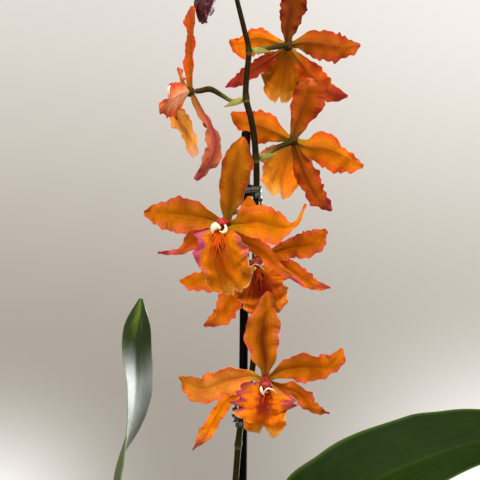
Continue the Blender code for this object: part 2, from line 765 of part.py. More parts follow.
def bark_holes():
    """The plain holes in the potting mix, as round plugs: centre, radius and floor."""
    holes = [(Vector(STEM[0]), STEM_ROOT_RADIUS + 0.7)]
    for leaf in LEAVES.values():
        if leaf["bulb"] is None:
            root_half = leaf["width"] * outline_at(OUTLINES[leaf["outline"][0]], 0) / 2
            holes.append((Vector(leaf["midrib"][0]), root_half + 0.8))
    return holes


def make_bark():
    draw = random.Random(7)
    floor = POT_FLOOR + GAP
    core = turned(
        [
            (0, floor), (pot_inner_radius(floor) - GAP, floor),
            (pot_inner_radius(BARK_TOP) - GAP, BARK_TOP), (0, BARK_TOP),
        ],
        POT_SIDES,
    )
    holes = bark_holes()
    keep_out = list(holes)
    keep_out.append((Vector((*STAKE_FOOT[:2], 0)), STAKE_RADIUS))
    for bulb in BULBS.values():
        for side in (-0.5, 0.5):
            offset = Vector((bulb["half"][0] * side, 0, 0))
            keep_out.append((Vector((*bulb["place"], 0)) + offset, max(bulb["half"]) * 0.62))
    chips = []
    while len(chips) < BARK_CHIPS:
        reach = BARK_CHIP_REACH * math.sqrt(draw.random())
        angle = draw.uniform(0, TURN)
        place = Vector((reach * math.cos(angle), reach * math.sin(angle), BARK_TOP + draw.uniform(-0.8, 1)))
        size, chip = bark_chip(draw, place)
        free = all((place - centre).xy.length > radius + size for centre, radius in keep_out)
        if free and reach + size < pot_inner_radius(BARK_TOP) - GAP:
            chips.append(chip)
    cutters = [bulb_shape(number, GAP) for number in BULBS]
    cutters.append(rhizome_shape(GAP))
    cutters.append(tube([Vector(STAKE_FOOT) - UP * GAP, STAKE_TIP], [STAKE_RADIUS + GAP] * 2, 16, 2))
    for centre, radius in holes:
        floor, top = centre.z - GAP, BARK_TOP + CUTTER_REACH
        cutters.append(turned([(0, floor), (radius, floor), (radius, top), (0, top)], 12, centre.xy))
    filled = fused("bark_mix", [core] + chips)
    meshes = [mesh_of("bark_mix", cutter) for cutter in cutters]
    put("bark_mix", one_body(combined("bark_mix", filled, meshes, "DIFFERENCE")), "bark", sharp_degrees=20)


# Pseudobulbs


def bulb_shape(number, grow=0.0):
    """A flattened egg with a cut-off top, which the leaves stand on."""
    bulb = BULBS[number]
    wide, deep = (half + grow for half in bulb["half"])
    x, y = bulb["place"]
    lean_x, lean_y = bulb["lean"]
    foot, top = BULB_FOOT - grow, bulb["top"] + grow
    rings = [[Vector((x, y, foot))]]
    for share, width in BULB_WIDTHS:
        centre = Vector((x + lean_x * share, y + lean_y * share, foot + (top - foot) * share))
        rings.append(circle(centre, UP, (wide * width, deep * width), 12))
    rings.append([rings[-1][0].lerp(rings[-1][6], 0.5)])
    return skin(rings)


def rhizome_shape(grow=0.0):
    """The creeping stem that joins the pseudobulbs."""
    points = [(*bulb["place"], RHIZOME_HEIGHT) for bulb in BULBS.values()]
    return tube(points, [RHIZOME_RADIUS + grow] * 2, 8, 9)


def make_pseudobulbs():
    shapes = [rhizome_shape()] + [bulb_shape(number) for number in BULBS]
    put("pseudobulbs", fused("pseudobulbs", shapes), "pseudobulb")


def leaf_blade(name, seed):
    leaf = LEAVES[name]
    midrib = [Vector(point) for point in leaf["midrib"]]
    if leaf["bulb"]:
        midrib[0] = midrib[0] + UP * (GAP + 0.2)
    return {
        "midrib": midrib,
        "faces": leaf["faces"],
        "turns": (0, 0),
        "folds": LEAF_FOLDS,
        "width": leaf["width"],
        "outline": leaf["outline"],
        "wave": 0.8,
        "round_end": 0,
        "notch": 0,
        "thickness": (LEAF_EDGE_THICKNESS, LEAF_RIB_THICKNESS),
        "seed": seed,
    }


def make_leaves():
    for index, name in enumerate(LEAVES):
        shape = blade_mesh(leaf_blade(name, 100 + 2 * index), LEAVES[name]["rows"], COLUMNS)
        put(name, mesh_of(name, shape), "leaf")


# Flower spike


def bloom_frame(bloom):
    """The heart, the way the bloom faces, and its own up, towards the dorsal sepal."""
    heart = Vector(bloom["heart"])
    facing = Vector(bloom["facing"]).normalized()
    dorsal = Vector(bloom["dorsal"][0][1])
    up = (dorsal - facing * dorsal.dot(facing)).normalized()
    return heart, facing, up


def bract_blade(points, seed):
    """A small scale that cups the foot of a pedicel from below."""
    near, far = Vector(points[0]), Vector(points[1])
    reach = (far - near).normalized()
    below = (reach * reach.dot(UP) - UP).normalized()
    return {
        "midrib": [near + below * 0.8, near + reach * 4 + below * 1.7, near + reach * 9 + below * 2.5],
        "faces": [-below, -below],
        "turns": (0, 0),
        "folds": BRACT_FOLDS,
        "width": BRACT_WIDTH,
        "outline": ("bract", "bract"),
        "wave": 0,
        "round_end": 0,
        "notch": 0,
        "thickness": (0.7, 0.9),
        "seed": seed,
    }


def make_spike():
    """The stem with its pedicels, and a bract under each."""
    radii = [STEM_ROOT_RADIUS, STEM_RADIUS + 0.2, STEM_RADIUS, STEM_RADIUS, STEM_RADIUS, STEM_TIP_RADIUS]
    shapes = [tube(STEM, radii, 8, STEM_STATIONS)]
    for number, bloom in BLOOMS.items():
        heart, facing, _ = bloom_frame(bloom)
        end = heart - facing * (HEART_RADIUS + GAP)
        path = bloom["pedicel"] + [end - facing * 2, end]
        radii = [PEDICEL_RADIUS, PEDICEL_RADIUS, PEDICEL_RADIUS + 0.2, OVARY_RADIUS, OVARY_RADIUS - 0.2]
        shapes.append(tube(path, radii, 6, 8))
        shapes.append(blade_mesh(bract_blade(bloom["pedicel"], number), BRACT_ROWS, COLUMNS))
    for path, base, _, _ in BUDS.values():
        way = (Vector(base) - Vector(path[-1])).normalized()
        shapes.append(tube(path + [Vector(base) - way * GAP], [0.8, 0.8, 1.1], 6, 6))
    put("spike", fused("spike", shapes), "stem")


def make_buds():
    for name, (_, base, tip, radius) in BUDS.items():
        shares = [(0.08, 0.5), (0.26, 0.92), (0.48, 1), (0.72, 0.78), (0.9, 0.4)]
        put(name, mesh_of(name, egg(base, tip, (radius, radius), 8, shares)), "bud")


# Blooms


def tepal_blade(heart, facing, layer, tepal, seed):
    midrib, width, turns, outline = tepal
    root = heart + facing * layer
    return {
        "midrib": [root] + [heart + Vector(point) for point in midrib],
        "faces": [facing, facing],
        "turns": turns,
        "folds": TEPAL_FOLDS,
        "width": width,
        "outline": outline,
        "wave": TEPAL_WAVE,
        "round_end": 0,
        "notch": 0,
        "thickness": (EDGE_THICKNESS, RIB_THICKNESS),
        "seed": seed,
    }


def lip_blade(heart, facing, up, lip, seed):
    midrib, width, outline = lip
    forward, above = LIP_START
    root = heart + facing * forward + up * above
    return {
        "midrib": [root] + [heart + Vector(point) for point in midrib],
        "faces": [facing, facing],
        "turns": (0, 0),
        "folds": LIP_FOLDS,
        "width": width,
        "outline": outline,
        "wave": LIP_WAVE,
        "round_end": LIP_ROUND_END,
        "notch": LIP_NOTCH,
        "thickness": (EDGE_THICKNESS, RIB_THICKNESS),
        "seed": seed,
    }


def make_bloom(number):
    bloom = BLOOMS[number]
    name = f"bloom_{number}"
    seed = 10 * number
    heart, facing, up = bloom_frame(bloom)
    tepals = [(bloom["dorsal"], SEPAL_LAYER, COLUMNS)]
    tepals += [(petal, PETAL_LAYER, COLUMNS) for petal in bloom["petals"]]
    tepals += [(sepal, SEPAL_LAYER, NARROW_COLUMNS) for sepal in bloom["sepals"]]
    radius = HEART_RADIUS
    shapes = [egg(heart - facing * radius, heart + facing * radius, (radius, radius), 8, ball_shares(4))]
    for index, (tepal, layer, columns) in enumerate(tepals):
        blade = tepal_blade(heart, facing, layer, tepal, 1000 * seed + 2 * index)
        shapes.append(blade_mesh(blade, TEPAL_ROWS, columns))
    put(f"{name}_tepals", fused(f"{name}_tepals", shapes), "tepal")

    lip = lip_blade(heart, facing, up, bloom["lip"], 1000 * seed + 20)
    put(f"{name}_lip", mesh_of(f"{name}_lip", blade_mesh(lip, LIP_ROWS, LIP_COLUMNS)), "lip")

    path = [heart + facing * forward + up * above for forward, above in COLUMN_PATH]
    across = facing.cross(up)
    column = tube(path, COLUMN_RADII, 8, 5, across)
    put(f"{name}_column", mesh_of(f"{name}_column", column), "column")

    way = (path[-1] - path[-2]).normalized()
    wide, high, long = CAP_HALF
    start = path[-1] + way * GAP
    cap = egg(start, start + way * long * 2, (wide, high), 8, ball_shares(4), across)
    put(f"{name}_cap", mesh_of(f"{name}_cap", cap), "cap")


# Stake and ties


def make_stake():
    foot, tip = Vector(STAKE_FOOT), Vector(STAKE_TIP)
    along = (tip - foot).normalized()
    shoulder = tip - along * 2
    rings = [
        circle(foot, along, (0.5, 0.5), 12),
        circle(foot + along * 8, along, (STAKE_RADIUS, STAKE_RADIUS), 12),
        circle(shoulder, along, (STAKE_RADIUS, STAKE_RADIUS), 12),
        circle(tip, along, (STAKE_RADIUS * 0.6, STAKE_RADIUS * 0.6), 12),
    ]
    put("stake", mesh_of("stake", skin(rings)), "stake")


def place_at(places, height):
    """Where a row of places that rises all the way passes a height, with no height of its own."""
    for near, far in zip(places, places[1:]):
        if near.z <= height <= far.z:
            place = near.lerp(far, (height - near.z) / (far.z - near.z))
            return Vector((place.x, place.y, 0))
    raise ValueError("height is past the ends")


def loop_outline(first, second, radii):
    """The outline round two circles: half a circle at each end."""
    way = (second - first).normalized()
    start = math.atan2(way.y, way.x)
    ring = []
    for centre, radius, turn in ((second, radii[1], -0.25), (first, radii[0], 0.25)):
        for step in range(TIE_STEPS + 1):
            angle = start + TURN * (turn + step / TIE_STEPS / 2)
            ring.append(centre + Vector((math.cos(angle), math.sin(angle), 0)) * radius)
    return ring


def wound_strip(low, high, turns, height):
    """A flat strip wound round stake and stem, following their lean."""
    stake, stem = [Vector(STAKE_FOOT), Vector(STAKE_TIP)], smooth_path(STEM, STEM_STATIONS)
    inner = (STAKE_RADIUS + TIE_SLACK, STEM_RADIUS + TIE_SLACK)
    outer = (inner[0] + TIE_THICKNESS, inner[1] + TIE_THICKNESS)
    count = 2 * TIE_STEPS + 2
    steps = round(turns * count)
    rings = []
    for step in range(steps + 1):
        middle = low + (high - low) * step / steps
        feet = (place_at(stake, middle), place_at(stem, middle))
        near, far = [loop_outline(*feet, radii)[step % count] + UP * middle for radii in (inner, outer)]
        half = UP * height / 2
        rings.append([near - half, far - half, far + half, near + half])
    return skin(rings)


def twisted_tail(points, wide_half, turns, stations):
    """The two ends of the strip, twisted together."""
    places = smooth_path(points, stations)
    rings = []
    for index, (place, along) in enumerate(zip(places, directions(places))):
        share = index / (stations - 1)
        side = along.cross(Vector((0, 1, 0))).normalized()
        wide = Matrix.Rotation(TURN * turns * share, 3, along) @ side
        deep = along.cross(wide)
        wide *= wide_half * (1 - 0.4 * share**3)
        deep *= TIE_THICKNESS * 0.6
        rings.append([place + wide + deep, place + wide - deep, place - wide - deep, place - wide + deep])
    return skin(rings)


def make_ties():
    for name, tie in TIES.items():
        shapes = [wound_strip(*tie["band"]), twisted_tail(*tie["tail"])]
        put(name, fused(name, shapes), "tie", sharp_degrees=35)


def main():
    clear_scene()
    make_pot()
    make_bark()
    make_pseudobulbs()
    make_leaves()
    make_stake()
    make_spike()
    make_ties()
    make_buds()
    for number in BLOOMS:
        make_bloom(number)


main()
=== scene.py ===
"""Looks of the potted cambria orchid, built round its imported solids.

X runs to the right, Y away from the front and Z up. Places and sizes are in millimetres, as in the
solids, and a mesh is turned into metres when it is made. Colours are linear red, green and blue.
"""

import math
import random

import bpy
import numpy as np
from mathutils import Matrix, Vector


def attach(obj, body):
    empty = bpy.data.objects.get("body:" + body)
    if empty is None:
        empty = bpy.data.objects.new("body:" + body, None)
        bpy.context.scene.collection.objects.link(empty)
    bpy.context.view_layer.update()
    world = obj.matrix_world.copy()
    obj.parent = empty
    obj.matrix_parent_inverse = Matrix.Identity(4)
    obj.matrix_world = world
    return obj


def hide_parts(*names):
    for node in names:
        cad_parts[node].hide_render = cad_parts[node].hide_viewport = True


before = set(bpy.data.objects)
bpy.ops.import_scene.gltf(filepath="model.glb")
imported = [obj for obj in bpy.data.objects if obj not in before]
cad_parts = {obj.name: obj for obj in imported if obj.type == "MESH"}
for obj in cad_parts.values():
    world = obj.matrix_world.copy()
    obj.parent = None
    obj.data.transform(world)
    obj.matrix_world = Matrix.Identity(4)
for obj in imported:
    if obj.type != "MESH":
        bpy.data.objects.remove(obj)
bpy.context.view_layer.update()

METRES = 0.001
TURN = 2 * math.pi
UP = np.array((0.0, 0.0, 1.0))

# Clearance between pieces that rest against each other
GAP = 0.3

# Pot and potting mix
POT_HEIGHT = 110
POT_FOOT_RADIUS = 46
POT_TOP_RADIUS = 58
POT_WALL = 3.5
POT_FLOOR = 5
POT_RIM_HEIGHT = 14
POT_RIM_STEP = 2.2
POT_EDGE = 1.5
BARK_TOP = 100
CHIPS = 230
CHIP_ROUNDNESS = 0.34
CHIP_TONES = ((0.13, 0.06, 0.03), (0.2, 0.1, 0.05), (0.08, 0.04, 0.022), (0.16, 0.085, 0.045))

# Pseudobulbs: the height of their feet, their widths at shares of the height, and for each its place, the
# height of its cut-off top, its half width and half depth, and how far its top leans
BULB_FOOT = 90
BULB_WIDTHS = [(0.06, 0.5), (0.2, 0.86), (0.38, 1), (0.58, 0.9), (0.78, 0.6), (0.93, 0.33), (1, 0.24)]
BULBS = {
    1: {"place": (-17, 17), "top": 172, "half": (17, 10), "lean": (-2, -1)},
    2: {"place": (13, 19), "top": 168, "half": (16, 9.5), "lean": (0, 1)},
    3: {"place": (36, 8), "top": 152, "half": (9, 14), "lean": (3, -1)},
}
BULB_GREEN = (0.09, 0.15, 0.022)
BULB_FOOT_BROWN = (0.22, 0.16, 0.07)
BULB_TOP_GREEN = (0.25, 0.26, 0.1)
RHIZOME_RADIUS = 5
RHIZOME_HEIGHT = 96
RHIZOME_STATIONS = 80

# Stake: its foot, its tip and its radius
STAKE_FOOT = (-3.5, 0, 20)
STAKE_TIP = (1.0, 0, 474.5)
STAKE_RADIUS = 2.25

# Rounded end of the stake: lengths back from it, and shares of the radius there
STAKE_END = [(1.2, 1), (0.6, 0.93), (0.2, 0.78), (0, 0.55)]

# Ties: flat strips wound round stake and stem. The band is its low and high middle, turns and strip height,
# and the tail the places it passes through, its half width and turns.
TIE_SLACK = 0.45
TIE_THICKNESS = 0.8
TIE_GREEN = (0.05, 0.085, 0.05)
TIES = {
    "tie_upper": {
        "band": (442, 447, 1.6, 2.8),
        "tail": ([(7.9, -3, 442.5), (8.3, -4.2, 440), (8.6, -5, 436)], 1, 1.2),
    },
    "tie_lower": {
        "band": (328.4, 331.6, 1.1, 2.6),
        "tail": ([(-4.3, -2, 329.5), (-4.8, -3, 333), (-4.2, -3.4, 338), (-3.6, -3.4, 343.5)], 1.5, 2.2),
    },
}

# Flower spike: the places its stem passes through, root to tip, its radii, the heights of its nodes that
# bear no bloom, and its colours
STEM = [
    (-19, 0, 92), (-19, -0.3, 104), (-18.6, -2, 128), (-15, -5, 190), (-8.5, -5.5, 255), (-4.2, -5, 301),
    (-2, -5, 326), (1.0, -4.9, 341.5), (4.5, -3, 358), (5.4, -1.2, 390), (5.8, -1.2, 432),
    (6.3, -1.2, 452), (5.8, -1.5, 463), (5, -1.8, 472), (3.4, -1.5, 481), (1, -0.5, 491), (1.4, 0, 503),
    (2.4, 0, 515), (0.2, 0, 525), (-3.5, 0, 540), (-6.5, 0.5, 553), (-7.5, 1, 566), (-10, 1, 579),
]
STEM_ROOT_RADIUS = 2.4
STEM_RADIUS = 1.6
STEM_TIP_RADIUS = 0.9
PEDICEL_RADIUS = 0.95
OVARY_RADIUS = 1.5
PLAIN_NODES = [150, 205, 262, 318.5]
STEM_BROWN = (0.014, 0.008, 0.0015)
STEM_LOW = (0.024, 0.019, 0.004)
STEM_SCAR = (0.2, 0.15, 0.05)
PEDICEL_BROWN = (0.03, 0.022, 0.004)
PEDICEL_GREEN = (0.2, 0.2, 0.03)
BUD_STALK = (0.12, 0.1, 0.03)
BRACT_WIDTH = 7.5
BRACT_LENGTH = 11.5


# Outlines of one side of a blade: share of the half width at shares of the length
OUTLINES = {
    "oval": [
        (0, 0.2), (0.1, 0.3), (0.2, 0.55), (0.3, 0.8), (0.45, 0.98), (0.6, 0.9), (0.75, 0.66),
        (0.9, 0.38), (1, 0.08),
    ],
    "broad": [
        (0, 0.2), (0.1, 0.26), (0.2, 0.5), (0.3, 0.77), (0.45, 1.03), (0.6, 1.05), (0.75, 0.92),
        (0.88, 0.62), (1, 0.1),
    ],
    "fan": [
        (0, 0.2), (0.1, 0.4), (0.2, 0.6), (0.35, 0.8), (0.5, 1), (0.65, 1.12), (0.8, 1.1), (0.92, 0.9),
        (1, 0.3),
    ],
    "even": [
        (0, 0.2), (0.15, 0.45), (0.3, 0.6), (0.45, 0.72), (0.6, 0.66), (0.75, 0.7), (0.88, 0.52),
        (1, 0.08),
    ],
    "slim": [
        (0, 0.2), (0.15, 0.3), (0.3, 0.45), (0.45, 0.6), (0.6, 0.56), (0.75, 0.45), (0.88, 0.3),
        (1, 0.06),
    ],
    "late": [
        (0, 0.2), (0.1, 0.25), (0.25, 0.35), (0.4, 0.55), (0.55, 0.75), (0.7, 0.82), (0.85, 0.66),
        (1, 0.15),
    ],
    "near": [
        (0, 0.25), (0.1, 0.35), (0.2, 0.6), (0.3, 0.85), (0.42, 1.02), (0.52, 0.85), (0.62, 0.5),
        (0.75, 0.28), (0.9, 0.2), (1, 0.06),
    ],
    "hook": [
        (0, 0.2), (0.1, 0.4), (0.2, 0.65), (0.3, 0.86), (0.42, 0.97), (0.58, 0.86), (0.67, 0.42),
        (0.75, 0.13), (0.88, 0.09), (1, 0.03),
    ],
    "lip": [
        (0, 0.25), (0.1, 0.5), (0.28, 0.93), (0.44, 1), (0.6, 0.86), (0.77, 0.84), (0.9, 0.78),
        (1, 0.54),
    ],
    "lip_a_right": [
        (0, 0.3), (0.08, 0.38), (0.2, 0.57), (0.3, 0.76), (0.4, 0.98), (0.5, 1), (0.6, 1.04), (0.7, 0.94),
        (0.75, 1), (0.82, 1.14), (0.92, 1.06), (1, 0.74),
    ],
    "lip_a_left": [
        (0, 0.3), (0.06, 0.74), (0.15, 1.03), (0.32, 0.86), (0.47, 1.08), (0.6, 1.0), (0.69, 0.76),
        (0.8, 0.82), (0.9, 0.86), (1, 0.58),
    ],
    "lip_c_right": [
        (0, 0.3), (0.09, 0.7), (0.16, 1.1), (0.23, 0.7), (0.3, 0.98), (0.36, 0.68), (0.43, 1.02),
        (0.48, 0.84), (0.55, 1.2), (0.64, 0.7), (0.72, 0.7), (0.84, 0.78), (0.94, 0.68), (1, 0.46),
    ],
    "lip_c_left": [
        (0, 0.3), (0.14, 0.5), (0.24, 0.86), (0.3, 0.64), (0.36, 1.0), (0.42, 0.7), (0.47, 0.98),
        (0.53, 0.66), (0.58, 0.86), (0.67, 1.12), (0.75, 0.6), (0.85, 0.66), (0.94, 0.62), (1, 0.42),
    ],
    "strap": [(0, 0.22), (0.15, 0.34), (0.4, 0.8), (0.6, 1), (0.8, 0.88), (0.93, 0.56), (1, 0.06)],
    "arch_upper": [
        (0, 0.2), (0.14, 0.32), (0.3, 0.66), (0.42, 0.95), (0.5, 1.05), (0.56, 0.88), (0.62, 0.86),
        (0.7, 0.88), (0.76, 0.7), (0.82, 0.5), (0.9, 0.3), (1, 0.05),
    ],
    "arch_lower": [
        (0, 0.2), (0.14, 0.32), (0.3, 0.66), (0.44, 0.86), (0.56, 0.88), (0.65, 0.78), (0.73, 0.5),
        (0.8, 0.42), (0.9, 0.28), (1, 0.05),
    ],
    "neck": [
        (0, 0.2), (0.1, 0.42), (0.25, 0.66), (0.45, 0.78), (0.6, 0.72), (0.73, 0.5), (0.84, 1.05),
        (0.93, 0.85), (1, 0.15),
    ],
    "bract": [(0, 0.7), (0.3, 1), (0.6, 0.85), (0.85, 0.4), (1, 0.06)],
}

# Waves of a blade's edge: how many on its length, their height, and how much they move the outline
WAVE_COUNTS = (2.4, 4.3)
TEPAL_WAVE = 1.1
TEPAL_WAVES = {(2, 0): 0.5}
LIP_WAVE = 1.5
OUTLINE_WAVE = 0.07
LIP_ROUND_END = 0.42

# Heart of a bloom: the knob that its tepals grow from, and where the lip and column start
HEART_RADIUS = 2.6
SEPAL_LAYER = -0.8
PETAL_LAYER = 0.5
LIP_START = (2.5, -2.0)
COLUMN_PATH = [(3.0, 1.1), (6.0, 1.7), (9.0, 1.3)]
COLUMN_RADII = (1.9, 2.1, 2.4, 2.8)
COLUMN_STATIONS = 34
COLUMN_BEND = {1: 0, 2: 1, 3: 0, 4: -0.6, 5: -0.5, 6: -1.4}
COLUMN_SIZE = {1: 1, 2: 1.1, 3: 1, 4: 1.05, 5: 0.9, 6: 1.2}
COLUMN_LEAN = {5: 1.5, 6: -0.5}
COLUMN_RED = (0.34, 0.014, 0.008)
# Deeper red painted on the column's underside, as painted shade
COLUMN_PAINTED_SHADE = (0.15, 0.005, 0.004)
# Paler colour painted in patches on the column's upper side towards its tip, as a painted highlight
COLUMN_PAINTED_HIGHLIGHT = (0.6, 0.12, 0.06)
COLUMN_REDS = {5: (0.24, 0.012, 0.006), 6: (0.22, 0.012, 0.016)}
LOBE_SIZES = {5: 0.65, 6: 0.78}
LOBE_RISES = {5: 0.4, 6: 1.3}
LOBE_CREAM = (0.9, 0.8, 0.58)
LOBE_YELLOW = (0.82, 0.6, 0.2)
LOBE_CREAMS = {5: (0.82, 0.5, 0.36)}
CAP_CREAM = (0.84, 0.62, 0.3)
CAP_CREAMS = {5: (0.85, 0.4, 0.02), 6: (0.4, 0.07, 0.03)}
CAP_HALF = (1.1, 0.8, 0.9)

# Cream lobes beside the cap: the places they pass through, as out, ahead and down from the column's tip, and
# their radii there. Each bloom has one on its own left and one on its right.
LOBES = {
    "wing": (
        [(0.2, 0, 0), (1.7, 0.6, 0.3), (2.9, 0.9, 1.6), (3.3, 1.1, 3.0), (2.8, 1.2, 4.1)],
        (0.7, 1.7, 1.7, 1.0, 0.2),
    ),
    "hook": (
        [(2.4, 0, -0.4), (3.2, 0.5, 0.6), (3.1, 0.9, 1.9), (2.1, 1.3, 2.8), (0.5, 1.7, 2.3)],
        (0.5, 0.75, 0.85, 0.6, 0.2),
    ),
    "fang": (
        [(2.5, 1.4, -2.6), (2.6, 1.9, -1.2), (2.3, 2.2, 0.4), (1.8, 2.2, 2.0), (1.2, 2.2, 3.4)],
        (0.35, 0.9, 0.95, 0.65, 0.12),
    ),
    "arch": (
        [(-1.7, 2.4, 2.6), (-1.2, 2.6, 0.2), (0.4, 2.6, -1.8), (2.5, 2.4, -0.9), (4.6, 2.0, 2.2)],
        (0.2, 0.5, 0.62, 0.5, 0.12),
    ),
    "stub": ([(0.8, 2.2, 0.2), (0.3, 2.5, 0.9), (-0.3, 2.6, 1.5)], (0.3, 0.5, 0.2)),
}
LOBE_PAIRS = {
    1: ("hook", "hook"), 2: ("wing", "wing"), 3: ("hook", "hook"), 4: ("wing", "hook"), 5: ("stub", "arch"),
    6: ("fang", "arch"),
}

# Blooms, top to bottom of the spike. heart is a place, facing the way the bloom looks. Each tepal has the
# places its midrib passes through, measured from the heart, then its width, the turns of its blade about
# the midrib at root and tip, in degrees, and the outlines of its left and right sides. pedicel goes from
# the stem to the back of the heart.
BLOOMS = {
    1: {
        "heart": (22.5, 13, 519),
        "facing": (0.12, 0.97, 0.1),
        "pedicel": [(2.2, 0, 514.5), (8, 2, 516), (15, 5, 517), (20, 8, 518.5)],
        "dorsal": ([(-0.5, 0, 8), (1, 1, 16.5), (4.5, 1, 28)], 13, (0, 20), ("fan", "late")),
        "petals": [
            ([(-6.5, -1, 2), (-16, -1, 4), (-24.5, 0, 1.5), (-30, 1, 3)], 14.5, (0, 0), ("slim", "broad")),
            ([(7, -1, 1.5), (17.5, -1, 0.5), (27.5, -1, -1), (37, 0, 0.5)], 15, (0, 0), ("oval", "oval")),
        ],
        "sepals": [
            ([(-5.5, 2, -4), (-14, 5, -9), (-22.5, 7, -14.5), (-32, 9, -20)], 12, (0, 10), ("slim", "slim")),
            ([(5, 2, -6), (12.5, 4, -15), (21, 5, -22.5), (31, 5, -25)], 12, (0, -10), ("even", "oval")),
        ],
        "lip": ([(-1, 14, -11), (-2.5, 17, -18.5), (-4.5, 15, -27)], 25, ("lip", "lip")),
    },
    2: {
        "heart": (-26.8, -5, 493.5),
        "facing": (-0.97, -0.2, -0.1),
        "pedicel": [(1, 0, 490.5), (-6, -1, 489.5), (-11, -2, 492), (-17, -4, 495)],
        "dorsal": ([(0.5, 0, 8.5), (0.5, 1, 21), (0.5, 1, 32), (1, 0, 42.5)], 13, (25, 12), ("neck", "neck")),
        "petals": [
            ([(-2.5, 7, 4), (-5, 17, 6.5), (-5.5, 29, 8.5), (-5.5, 38, 12.5)], 14, (0, 0), ("oval", "broad")),
            (
                [(-1, -7, -0.8), (-5, -16, -3.5), (-8.5, -24.5, -7), (-13, -30.5, -12)],
                19, (0, -10), ("slim", "broad"),
            ),
        ],
        "sepals": [
            (
                [(4, -1, -7), (10, -4, -16.5), (12.5, -7, -27), (9, -9, -37), (3.5, -10, -44.5)],
                13, (30, 65), ("even", "oval"),
            ),
            (
                [(4, 3, -5.5), (9.5, 11, -15), (12.5, 17, -21.5), (10.5, 23, -32)],
                12, (0, 0), ("oval", "even"),
            ),
        ],
        "lip": ([(-7, 0.5, -8), (-5.5, 0.5, -14), (-1.5, 0, -22), (1.5, 0, -32.5)], 20, ("lip", "lip")),
    },
    3: {
        "heart": (25, 12, 470.5),
        "facing": (0, 0.97, 0.1),
        "pedicel": [(6.2, 0.3, 460.5), (12, 2.5, 463.5), (18, 5.5, 467)],
        "dorsal": ([(1.5, -1, 8), (5, -2, 17), (7.5, -3, 24.5), (9, -4, 31.5)], 17, (0, 10), ("fan", "late")),
        "petals": [
            ([(-6.5, -1, 3), (-16, -1, 7), (-24, 0, 9.5), (-31.5, 1, 14.5)], 15, (0, 0), ("oval", "oval")),
            ([(7, -1, -3), (17, -1, -4.5), (26.5, 0, -8), (36, 1, -13)], 17, (0, 0), ("broad", "near")),
        ],
        "sepals": [
            ([(1.5, 2, -8), (4.5, 4.5, -17), (9, 6.5, -25), (15, 8.5, -32)], 10, (0, 0), ("slim", "even")),
            ([(3, 1, -7.5), (6.5, 2, -17), (11.5, 3, -26.5), (20, 4, -35.5)], 12, (0, 0), ("even", "oval")),
        ],
        "lip": ([(-3.5, 14, -12), (-5.5, 17, -20), (-6.5, 15, -28)], 26, ("lip", "lip")),
    },
    4: {
        "heart": (-8, -34, 427.5),
        "facing": (-0.35, -0.92, -0.12),
        "pedicel": [(5.8, -1.2, 434), (3.5, -5.5, 434.5), (-3, -9, 434), (-8.5, -15, 431.5), (-8.5, -24, 429)],
        "dorsal": ([(1.5, -2, 9), (2.5, -3, 22), (5, -3, 32.5), (7.5, -1, 41)], 17, (0, 0), ("even", "broad")),
        "petals": [
            ([(-5.5, 1, 1.5), (-18.5, 6, 4.5), (-30, 9, 5.5), (-40, 12, 5.5)], 16, (0, 0), ("broad", "oval")),
            (
                [(6, -2, 0), (15, -7, 1), (24, -10, -1.5), (31, -12, -0.5), (36.5, -12, 9)],
                17, (0, 0), ("hook", "hook"),
            ),
        ],
        "sepals": [
            ([(-7, 3, -4.5), (-16, 7, -8), (-23, 9, -13), (-33.5, 10, -13.5)], 9.5, (0, 0), ("near", "near")),
            ([(7, 0, -7.5), (14.5, -1, -12), (23.5, -2, -19.5), (36, 0, -29)], 9.5, (0, 0), ("near", "slim")),
        ],
        "lip": ([(-3.5, -12, -11), (-1.5, -12, -22), (4, -8, -32)], 26, ("lip_a_right", "lip_a_left")),
    },
    5: {
        "heart": (6.3, -14, 409.5),
        "facing": (0.05, -0.96, -0.25),
        "pedicel": [(5.3, -1, 399), (5.8, -5, 408), (6.2, -8, 411)],
        "dorsal": ([(-0.5, 1, 8.5), (-2.5, 2, 19.5), (-4, 2, 32)], 13, (0, 0), ("broad", "oval")),
        "petals": [
            ([(-6, 1, -1), (-17, 2, -5), (-28, 2, -8.5), (-38, 3, -9.5)], 13, (0, 0), ("broad", "slim")),
            ([(7.5, -1, 4), (17, -2, 7), (26, -3, 8.5), (34, -3, 15)], 15, (0, 0), ("late", "even")),
        ],
        "sepals": [
            (
                [(-3.5, 2, -7), (-12, 2, -17.5), (-18.5, 2, -26.5), (-26, 1, -31.5)],
                10.5, (0, 0), ("broad", "oval"),
            ),
            ([(9, 2, -0.5), (19, 1, -6), (27, 0, -11.5), (36, 1, -13)], 9.5, (0, 0), ("oval", "slim")),
        ],
        "lip": ([(2, -9, -13), (4, -9, -20), (5, -5, -27)], 27, ("lip", "lip")),
    },
    6: {
        "heart": (10, -30, 353.5),
        "facing": (-0.02, -0.94, -0.33),
        "pedicel": [(4.8, -2.3, 368), (7, -9, 366.5), (9.5, -17, 362), (10, -24, 357)],
        "dorsal": ([(0, 0, 8.5), (-1.5, 0, 19), (0, 0, 32), (1.5, 0, 42)], 17, (0, 0), ("oval", "oval")),
        "petals": [
            ([(-7, -1, 2), (-18, -2, 0), (-30, -1, -3.5), (-41, 0, 1.5)], 14, (0, 0), ("broad", "oval")),
            (
                [(7.5, -1, 4.5), (18, -2, 6.5), (27, -2, 6.5), (33, -1.5, 9), (36.5, -1, 15)],
                14, (0, 0), ("oval", "oval"),
            ),
        ],
        "sepals": [
            (
                [(-6.5, 1, -4), (-16, 1, -8), (-23, 0, -17), (-28, -1, -26), (-34.5, -2, -33)],
                9.5, (0, 0), ("slim", "even"),
            ),
            ([(7, 1, -3.5), (15, 0, -6), (22.5, -1, -13.5), (30.5, -1, -15.5)], 9, (0, 0), ("oval", "slim")),
        ],
        "lip": ([(-1, -13, -10), (-1, -15, -17), (-0.5, -10, -26)], 28, ("lip_c_right", "lip_c_left")),
    },
}

